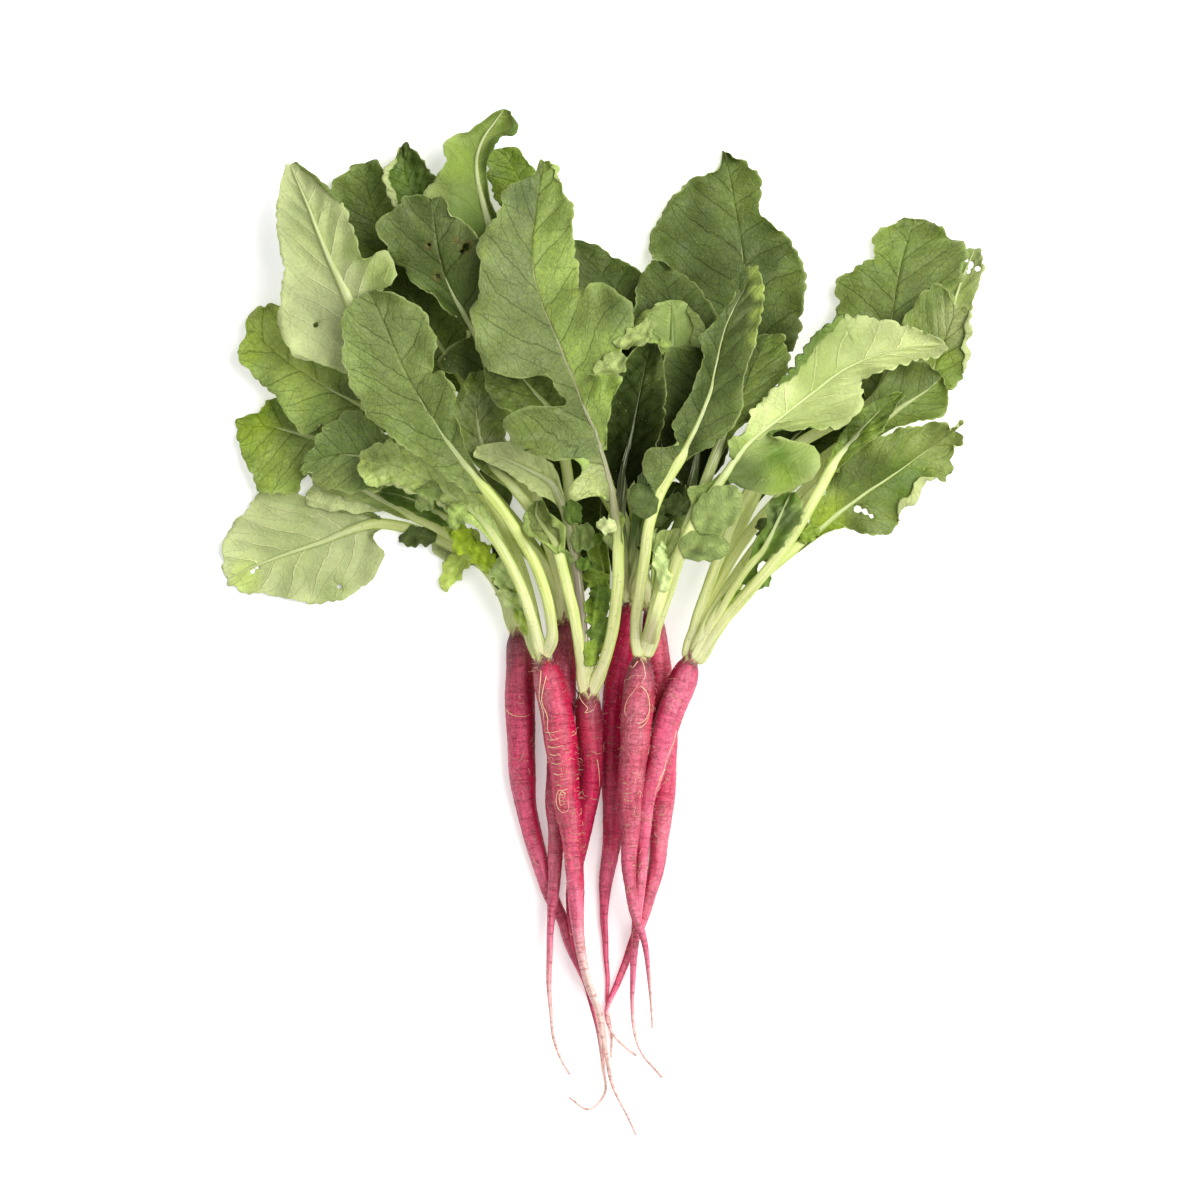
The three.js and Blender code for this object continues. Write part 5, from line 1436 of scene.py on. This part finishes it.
def leafShape(name, crown):
    # the middle surface of the leaf, row by row, and the size of its rib
    rows = readLeaf(name, crown)
    plan, low, high = rows[..., :2], rows[..., 2], rows[..., 3]
    knots = lengthsAlong(plan[:, 2])
    total = knots[-1]
    along = np.linspace(0, total, max(int(total / leafLook["step"]), 12))
    rib = throughKnots(along, knots, plan[:, 2], 0.3)
    reach = np.linalg.norm(plan - plan[:, 2:3], axis=2)
    farthest = leafLook["bladeFold"] * np.maximum(reach, 1e-6)
    isBlade = [reach[:, fold] < farthest[:, margin] for margin, fold in marginAndFold]
    halves = []
    for side, (edge, fold) in enumerate(marginAndFold):
        halves.append(dict(
            edge=softened(throughKnots(along, knots, plan[:, edge], 1.0)),
            foldZ=throughKnots(along, knots, (low[:, fold] + high[:, fold]) / 2),
            edgeZ=throughKnots(along, knots, (low[:, edge] + high[:, edge]) / 2),
            blade=throughKnots(along, knots, isBlade[side].astype(float)),
        ))
    firstBlade = int(np.argmax(isBlade[0] & isBlade[1]))
    stalk = reach[0, 0] * 2 / leafLook["firstRow"]
    bladePart = np.clip((np.arange(len(knots)) - firstBlade + 1) / (len(knots) - firstBlade), 0, 1)
    widths = blend(stalk, leafLook["ribTipWidth"], bladePart)
    shape = dict(
        along=along, rib=rib, halves=halves, total=total,
        width=throughKnots(along, knots, widths),
        height=throughKnots(along, knots, high[:, 2] - low[:, 2]),
        ribLow=throughKnots(along, knots, low[:, 2]),
    )
    shape["bladeStart"] = float(knots[max(firstBlade - 1, 0)])
    return roundedTip(shape)


def veinRows(along, away, look, side, seed):
    # counts the side veins: whole numbers lie on a vein, and every vein sweeps towards the tip
    gap = mm(look.get("gap", leafLook["veinGapMm"]))
    back = look.get("sweep", leafLook["veinSweep"]) * mm(10) * (away / mm(10)) ** 0.85
    return (along - back) / gap + 0.45 * side + 0.12 * waves(seed + 6, along, away, mm(34))


def ruffle(z, shape, look, side, seed, outline, away, wide, u):
    # puffs between the veins, waves along the margin and crumples
    along = shape["along"][:, None]
    up = 1 if facesUp(look) else -1
    row = veinRows(along, away, look, side, seed)
    puff = np.abs(np.sin(math.pi * row)) ** 1.2 * np.sin(math.pi * u ** 0.8)
    gap = look.get("gap", leafLook["veinGapMm"])
    depth = leafLook["quilt"] * min(gap / 10, 1.4) * look.get("quilt", 1.0)
    z = z + up * puff * depth * wide
    ripple = waves(seed + 2, outline, away, leafLook["rippleLength"], 4)
    z = z + mm(look.get("ripple", leafLook["rippleMm"])) * wide * u ** 2.5 * ripple
    mirrored = away * (1 if side else -1)
    z = z + waves(seed + 3, along, mirrored, leafLook["waveLength"]) * leafLook["waveDepth"] * wide * u
    crumple = mm(look.get("crumple", 0))
    if crumple > 0:
        folds = waves(seed + 4, along, mirrored, leafLook["crumpleLength"], 9)
        z = z + crumple * folds * wide * smooth(0, 0.3, u)
    return z, row


def relaxed(plan, passes=40):
    # evens out the inner points of a blade between its rib and its margin
    plan = plan.copy()
    for _ in range(passes):
        around = plan[:-2, 1:-1] + plan[2:, 1:-1] + plan[1:-1, :-2] + plan[1:-1, 2:]
        plan[1:-1, 1:-1] = around / 4
    return plan


def bulges(turns, power):
    # one rounded bulge per turn, with sharp notches between them
    return np.abs(np.sin(math.pi * turns)) ** power - 0.6


def bladeGrid(shape, look, side, seed):
    # one half of the blade, from the rib outwards: the place of every point, how far it is from the rib,
    # its count of side veins and how near the rim it is
    half = shape["halves"][side]
    rib = shape["rib"]
    u = np.linspace(0, 1, leafLook["halfColumns"])[None, :]
    edge = half["edge"]
    reach = np.linalg.norm(edge - rib, axis=1)
    outline = lengthsAlong(edge)
    ahead = unit(np.gradient(edge, axis=0))
    out = np.stack([-ahead[:, 1], ahead[:, 0]], axis=1) * (1 if side == 0 else -1)
    wide = smooth(mm(2), mm(7), reach) * half["blade"]
    tooth = outline / leafLook["toothLength"] + 0.3 * waves(seed, outline, 0 * outline, mm(20))
    lobe = outline / leafLook["lobeLength"] + 0.3 * waves(seed + 1, outline, 0 * outline, mm(40))
    uneven = 1 + 0.45 * waves(seed + 8, outline, 0 * outline, mm(23))
    shift = bulges(tooth, 0.7) * leafLook["toothDepth"] * look.get("tooth", 1.0)
    shift = shift + bulges(lobe, 0.6) * leafLook["lobeDepth"] * look.get("lobe", 1.0)
    shift = shift * uneven * smooth(mm(2), mm(9), reach) * half["blade"]
    plan = rib[:, None, :] + (edge - rib)[:, None, :] * u[..., None]
    plan = relaxed(plan + out[:, None, :] * (shift[:, None] * u ** 3)[..., None])
    later = smooth(shape["bladeStart"], shape["bladeStart"] + mm(45), shape["along"])
    seat = blend(0.5, look.get("seat", 0.72 if facesUp(look) else 0.25), later)
    ribZ = shape["ribLow"] + shape["height"] * seat
    bend = (half["foldZ"] - ribZ - 0.45 * (half["edgeZ"] - ribZ)) / (0.45 * 0.55)
    z = ribZ[:, None] + (half["edgeZ"] - ribZ)[:, None] * u + bend[:, None] * u * (1 - u)
    away = u * reach[:, None]
    z, row = ruffle(z, shape, look, side, seed, outline[:, None], away, wide[:, None], u)
    return dict(points=np.concatenate([plan, z[..., None]], axis=2), away=away, row=row,
                rim=u * wide[:, None], blade=half["blade"], side=side)


def runsOf(mask):
    # the (first, last) of every stretch that the mask keeps, with one row more at each end
    last = len(mask) - 1
    starts = [i for i in range(len(mask)) if mask[i] and (i == 0 or not mask[i - 1])]
    ends = [i for i in range(len(mask)) if mask[i] and (i == last or not mask[i + 1])]
    return [(max(i - 1, 0), min(j + 1, last)) for i, j in zip(starts, ends) if j - i > 1]


def curlOver(sheet, width, radius):
    # rolls the outer part of each row over onto the blade, and keeps the outline where it is
    rows, columns, _ = sheet.shape
    rolled = sheet.copy()
    for i in range(rows):
        if width[i] < mm(0.4):
            continue
        line = sheet[i]
        steps = lengthsAlong(line)
        total = steps[-1]
        r = min(radius, width[i] / 3)
        flat = max(total - r, total * 0.4)
        unrolled = np.linspace(0, 1, columns) ** 0.8 * (flat + math.pi * r + width[i])
        outward = line[-1] - line[-2]
        outward /= max(np.linalg.norm(outward), 1e-9)
        root = pointAt(flat, steps, line)
        for j, reach in enumerate(unrolled):
            if reach <= flat:
                rolled[i, j] = pointAt(reach, steps, line)
                continue
            turn = (reach - flat) / r
            if turn <= math.pi:
                up = np.array([0, 0, r * (1 - math.cos(turn))])
                rolled[i, j] = root + outward * r * math.sin(turn) + up
            else:
                back = reach - flat - math.pi * r
                up = np.array([0, 0, 2 * r + back * 0.12])
                rolled[i, j] = pointAt(max(flat - back, 0), steps, line) + up
    return rolled


def openHoles(sheet, holes):
    # which cells stay once the holes are bitten out; the points round a hole are drawn onto its rim
    rows, columns, _ = sheet.shape
    keep = np.ones((rows - 1, columns - 1), bool)
    for x, y, radius in holes:
        gap = sheet[..., :2] - np.array([mm(x), mm(y)])
        distance = distanceFrom(sheet, x, y)
        if distance.min() > mm(radius):
            inside = distance <= distance.min() if distance.min() < mm(radius) + mm(1.5) else distance < 0
        else:
            inside = distance < mm(radius)
        touched = inside[:-1, :-1] | inside[1:, :-1] | inside[:-1, 1:] | inside[1:, 1:]
        keep &= ~touched
        near = np.zeros((rows, columns), bool)
        for di in (0, 1):
            for dj in (0, 1):
                near[di:rows - 1 + di, dj:columns - 1 + dj] |= touched
        near &= ~inside
        pull = (mm(radius) / np.maximum(distance, 1e-9) - 1)[..., None] * gap * 0.8
        inner = np.zeros((rows, columns), bool)
        inner[1:-1, 1:-1] = True
        sheet[..., :2] += np.where((near & inner)[..., None], pull, 0)
    return keep


def addSheet(pile, sheet, flip, keep, kinds, tints, skin, rim, row, light=0.0):
    # a thin closed shell round the cells that are kept, cut along the same diagonals on both sides;
    # kinds and tints are those of the upper side and of the lower one
    rows, columns, _ = sheet.shape
    forward = np.gradient(sheet, axis=0)
    sideways = np.gradient(sheet, axis=1)
    normal = unit(np.cross(forward, sideways) * (-1 if flip else 1))
    half = leafLook["thickness"] / 2
    thin = blend(1.0, 0.45, rim ** 3)[..., None]
    cells = np.array(gridFaces(rows, columns, 0, not flip))[keep.ravel()]
    used = np.unique(cells)
    place = np.full(rows * columns, -1)
    place[used] = np.arange(len(used))
    cells = place[cells]
    count = len(used)
    above = (sheet + normal * half * thin).reshape(-1, 3)[used]
    below = (sheet - normal * half * thin).reshape(-1, 3)[used]
    top = [[cell[0], cell[k], cell[k + 1]] for cell in cells.tolist() for k in (1, 2)]
    faces = top + [[count + corner for corner in reversed(cell)] for cell in top]
    faceKinds = [kinds[0]] * len(top) + [kinds[1]] * len(top)
    sides = {(cell[k], cell[(k + 1) % 3]) for cell in top for k in range(3)}
    for first, second in sorted(sides):
        if (second, first) not in sides:
            faces.append([second, first, first + count, second + count])
            faceKinds.append(kinds[0])
    colours = np.concatenate([tint.reshape(-1, 3)[used] for tint in tints])
    skins = np.tile(skin.reshape(-1, 2)[used], (2, 1))
    rims, rowsAt = (np.tile(values.ravel()[used], 2) for values in (rim, row))
    pile.add(np.concatenate([above, below]), faces, faceKinds, colours, skins,
             rim=rims, row=rowsAt, light=np.full(2 * count, float(light)))


def addStalk(pile, shape, lift, look, seed):
    sides = leafLook["stalkSides"]
    along, rib = shape["along"], shape["rib"]
    upper = facesUp(look)
    ahead = unit(np.gradient(rib, axis=0))
    left = np.stack([-ahead[:, 1], ahead[:, 0]], axis=1)
    a, s = np.meshgrid(anglesRound(sides), along)
    up = 1 if upper else -1
    groove = 1 - 0.2 * np.exp(-((((a - up * math.pi / 2 + math.pi) % (2 * math.pi)) - math.pi) / 0.42) ** 2)
    ridge = 1 + 0.045 * np.sin(a * 5 + seed) + 0.02 * waves(seed, a * mm(3), s, mm(14))
    onBlade = smooth(shape["bladeStart"], shape["bladeStart"] + mm(40), along)
    slim = blend(1.0, 0.5 if upper else 0.7, onBlade)
    slim = slim * (1 + 0.22 * smooth(mm(12), mm(5), along) - 0.12 * smooth(mm(4), 0, along))
    wide = (shape["width"] * slim / 2)[:, None] * ridge
    tall = (shape["height"] * blend(1.0, 0.75, onBlade) / 2)[:, None] * groove * ridge
    middle = shape["ribLow"] + shape["height"] / 2 + lift
    x = rib[:, 0:1] + left[:, 0:1] * np.cos(a) * wide
    y = rib[:, 1:2] + left[:, 1:2] * np.cos(a) * wide
    z = middle[:, None] + np.sin(a) * tall
    points = np.stack([x, y, z], axis=2)
    centre = points[0].mean(axis=0)
    down = np.array([*(-ahead[0]), -0.3])
    footRings = ((0.4, mm(2.4)), (0.75, mm(1.7)), (0.94, mm(0.8)))         # (width, depth in the crown)
    feet = [centre + (points[0] - centre) * near + down * depth for near, depth in footRings]
    points = np.concatenate([np.array(feet), points])
    s = np.concatenate([s[:1] - depth for _, depth in footRings] + [s])
    faces = tubeFaces(len(points), sides, flip=True)
    start = max(shape["bladeStart"], mm(20))
    base, stem, far = (leafTones[key] for key in ("stalkBase", look.get("stem", "stalk"), "stalkGreen"))
    tint = blend(base, stem, smooth(mm(4), min(mm(30), start), s[:, 0])[:, None])
    tint = blend(tint, far, (0.4 * smooth(start * 0.5, start, s[:, 0]))[:, None])
    leafTone = leafTones[look.get("top" if upper else "under", "mid" if upper else "pale")]
    ribTone = blend(leafTones[look.get("rib", "ribLight" if upper else "ribPale")], leafTone, 0.3)
    tint = blend(tint, ribTone, (0.9 * smooth(start, start + mm(18), s[:, 0]))[:, None])
    around = np.concatenate([a[:3], a])
    # painted shade: the sides of the stalk are darker and greener than its top
    paintedSideShade = (np.abs(np.cos(around)) ** 2.4)[..., None]
    tints = tint[:, None, :] * blend(np.ones(3), np.array((0.68, 0.79, 0.38)), paintedSideShade)
    # the painted shade of the leaf's darkest patches darkens its stalk too
    for x, y, radius, name, strength in look.get("zones", ()):
        if name in ("paintedDarkShadow", "deep"):
            distance = distanceFrom(points, x, y)
            weight = strength * smooth(mm(radius) * 1.2, mm(radius) * 0.6, distance)
            tints = blend(tints, leafTones[name], weight[..., None])
    tints = tints.reshape(-1, 3)
    skin = np.stack([(around - math.pi) * mm(2.2), s], axis=2).reshape(-1, 2) * skinUnits
    pile.add(points.reshape(-1, 3), faces, stalkKind, tints, skin)


def leafTint(look, which, shape, blade, seed):
    # the tone of every point: from the base to the tip, the margin, the patches and soft clouds
    usual = look.get(which, "mid" if which == "top" else "pale")
    isUp = (which == "top") == facesUp(look)
    if isUp:
        usual = look.get(("left", "right")[blade["side"]], usual)
    start = leafTones[usual]
    end = leafTones[look.get(which + "Tip", usual)]
    along, rim = shape["along"][:, None], blade["rim"]
    part = smooth(0.45, 1.0, along / shape["total"]) + 0 * rim
    tint = blend(start, end, part[..., None])
    tint = blend(tint, leafTones["yellow" if which == "top" else "straw"], (0.28 * rim ** 4)[..., None])
    for x, y, radius, name, strength in look.get("zones", ()) if isUp else ():
        ragged = waves(seed + 9, blade["points"][..., 0], blade["points"][..., 1], mm(20))
        distance = distanceFrom(blade["points"], x, y) * (1 + 0.15 * ragged)
        weight = strength * smooth(mm(radius) * 1.25, mm(radius) * 0.35, distance)
        tint = blend(tint, leafTones[name], weight[..., None])
    cloud = waves(seed + 5, along, blade["away"] * (1 if blade["side"] else -1), mm(30))
    gain = (0.75, 0.76, 0.63) if which == "top" else (1.0, 1.0, 0.95)
    return tint * (1 + 0.07 * cloud)[..., None] * np.array(gain)


def addBlade(pile, shape, look, blade, lift, seed):
    side, away = blade["side"], blade["away"]
    raised = blade["points"].copy()
    raised[..., 2] += lift
    part = shape["along"] / shape["total"]
    curl = np.zeros(len(part))
    for which, start, end, width in look.get("curls", ()):
        if which == ("left", "right")[side]:
            swell = np.sin(math.pi * np.clip((part - start) / (end - start), 0, 1)) ** 0.6
            curl = np.maximum(curl, mm(width) * swell)
    if curl.max() > 0:
        raised = curlOver(raised, curl, leafLook["curlRadius"])
    keep = openHoles(raised, look.get("holes", ()))
    tints = [leafTint(look, which, shape, blade, seed) for which in ("top", "under")]
    kinds = [topKind, underKind]
    if not facesUp(look):
        tints.reverse()
        kinds.reverse()
    across = away * (1 if side else -1)
    skin = np.stack([across, np.repeat(shape["along"][:, None], away.shape[1], axis=1)], axis=2)
    skin = skin * skinUnits
    for start, end in runsOf(blade["blade"] > 0.02):
        rows = slice(start, end + 1)
        addSheet(pile, raised[rows], side == 1, keep[start:end], kinds, [tint[rows] for tint in tints],
                 skin[rows], blade["rim"][rows], blade["row"][rows], look.get("light", 0.0))


def addLeaflet(pile, spec, shape, lift, seed):
    # a small crumpled leaflet; it springs from the stalk nearest to its place unless it is a free one
    x, y, heading, length, width, colour = spec[:6]
    look = leafletLook
    kind = look["small" if width < look["smallWidthMm"] else "large"]
    rows, columns = int(length / 0.8) + 5, int(width / 0.9) + 5
    start = np.array([mm(x), mm(y)])
    near = int(np.argmin(np.linalg.norm(shape["rib"] - start, axis=1)))
    baseZ = shape["ribLow"][near] + shape["height"][near] * 0.6 + lift[near]
    if len(spec) == 6:
        start = shape["rib"][near]
    t = np.linspace(0, 1, rows)[:, None]
    v = np.linspace(-1, 1, columns)[None, :]
    bow = math.radians(heading) + 0.6 * (t - 0.3) * math.sin(seed)
    ahead = np.stack([np.cos(bow), np.sin(bow)], axis=2)
    side = np.stack([-np.sin(bow), np.cos(bow)], axis=2)
    lobes = 1 - kind["lobed"] / 2 + kind["lobed"] * np.abs(np.sin(6.5 * t + seed))
    spread = np.sin(math.pi * np.clip(t * 0.9 + 0.07, 0, 1)) ** 0.6 * lobes
    spread = spread * mm(width) / 2
    ragged = v * spread * (1 + kind["torn"] * np.sin(23 * t + seed + 2 * np.sign(v)) * np.abs(v))
    plan = start + ahead * t[..., None] * mm(length) + side * ragged[..., None]
    z = baseZ + look["bow"] * np.sin(math.pi * t) + look["cup"] * np.abs(v) ** 1.5 * math.cos(seed)
    x, y = plan[..., 0], plan[..., 1]
    z = z + waves(seed, x, y, kind["crumpleLength"], 9) * kind["rough"] * smooth(0, 0.35, t)
    z = z + waves(seed + 1, x, y, look["fineLength"], 7) * kind["rough"] * kind["fine"] * np.abs(v)
    grid = np.concatenate([plan, z[..., None]], axis=2)
    need = np.array([[topUnder(*point[:2], None) for point in line] for line in grid])
    need = need + leafLook["gap"] + leafLook["thickness"] - z
    lift = np.where(need > look["mostLift"], 0, np.maximum(need, mm(0.5) - z))
    grid[..., 2] += eased(lift.clip(0), 6)
    tint = leafTones[colour] * (1 + 0.16 * waves(seed + 2, x, y, look["cloudLength"]))[..., None]
    rim = np.maximum(np.abs(v), t ** 4)
    skin = np.stack([ragged, t * mm(length) + 0 * v], axis=2) * skinUnits
    row = t * length / 4 - np.abs(v) * 0.8
    keep = np.ones((rows - 1, columns - 1), bool)
    tints = [tint * np.array((0.9, 0.9, 0.8)), tint]
    addSheet(pile, grid, True, keep, (topKind, underKind), tints, skin, rim, row)


def sinkToCrown(shape, crown, plant):
    # how far the first part of a stalk comes down to meet its crown, as far as other plants leave it room
    start = shape["ribLow"][0] + shape["height"][0] / 2 - crown[2]
    stack = leafLook["crownStack"] * (1 - math.exp(-max(start, 0) / leafLook["crownReach"]))
    spare = start - stack - 0.25 * min(start, 0)
    if abs(spare) < mm(0.3):
        return 0 * shape["along"]
    reach = np.clip(abs(spare) * 3.5, leafLook["shortSink"], leafLook["longSink"])
    sink = spare * (1 - smooth(0, reach, shape["along"]))
    tops = np.array([topUnder(*place, None, plant) for place in shape["rib"]])
    room = shape["ribLow"] - tops - leafLook["gap"]
    sink = np.minimum(sink, np.maximum(room, 0))
    padded = np.pad(sink, 3, mode="edge")
    sink = np.min([padded[k:k + len(sink)] for k in range(7)], axis=0)
    return softened(sink, 12)


def makeLeaf(name, look, crown, seed):
    shape = leafShape(name, crown)
    owner = "root_" + name[5]
    blades = [bladeGrid(shape, look, side, seed + 10 * side) for side in (0, 1)]
    grid = np.concatenate([blades[0]["points"][:, ::-1], blades[1]["points"][:, 1:]], axis=1)
    lift = liftOver(grid, owner, leafLook["mostLift"]) * smooth(0, mm(12), shape["along"])[:, None]
    lift = lift - sinkToCrown(shape, crown, name[5])[:, None]
    columns = leafLook["halfColumns"]
    pile = Pile()
    for blade, part in zip(blades, (lift[:, columns - 1::-1], lift[:, columns - 1:])):
        addBlade(pile, shape, look, blade, part, seed + 10 * blade["side"])
    addStalk(pile, shape, lift[:, columns - 1], look, seed)
    remember(name, pile.points(), pile.faces)              # so that its own leaflets can lie on it
    for order, spec in enumerate(leaflets.get(name, ())):
        addLeaflet(pile, spec, shape, lift[:, columns - 1], seed + 50 + order)
    remember(name, pile.points(), pile.faces)
    piece = pile.finish(name + "_skin", [leafTopSkin, leafUnderSkin, stalkSkin])
    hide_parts(name)
    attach(piece, "root")


grids = {}
for order, name in enumerate(sorted(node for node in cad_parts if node.startswith("root_"))):
    grids[name] = makeRoot(name, roots[name], order)
makeRootlets(grids)
skins = rootSource(grids)
grow("rootHairs", makeHairTree(), skins, rootHairSkin, Density=60000.0, Length=mm(1.7), Lean=0.9,
     Thickness=mm(0.065), Seed=5)
grow("crownHusks", makeHuskTree(), skins, huskSkin, Density=130000.0, Length=mm(4.2), Width=mm(1.0),
     Curl=0.3, Seed=3)
print("roots made:", len(grids))

for order, (name, look) in enumerate(leaves.items()):
    makeLeaf(name, look, grids["root_" + name[5]]["centres"][0], 100 * order + 7)
print("leaves made:", len(leaves))
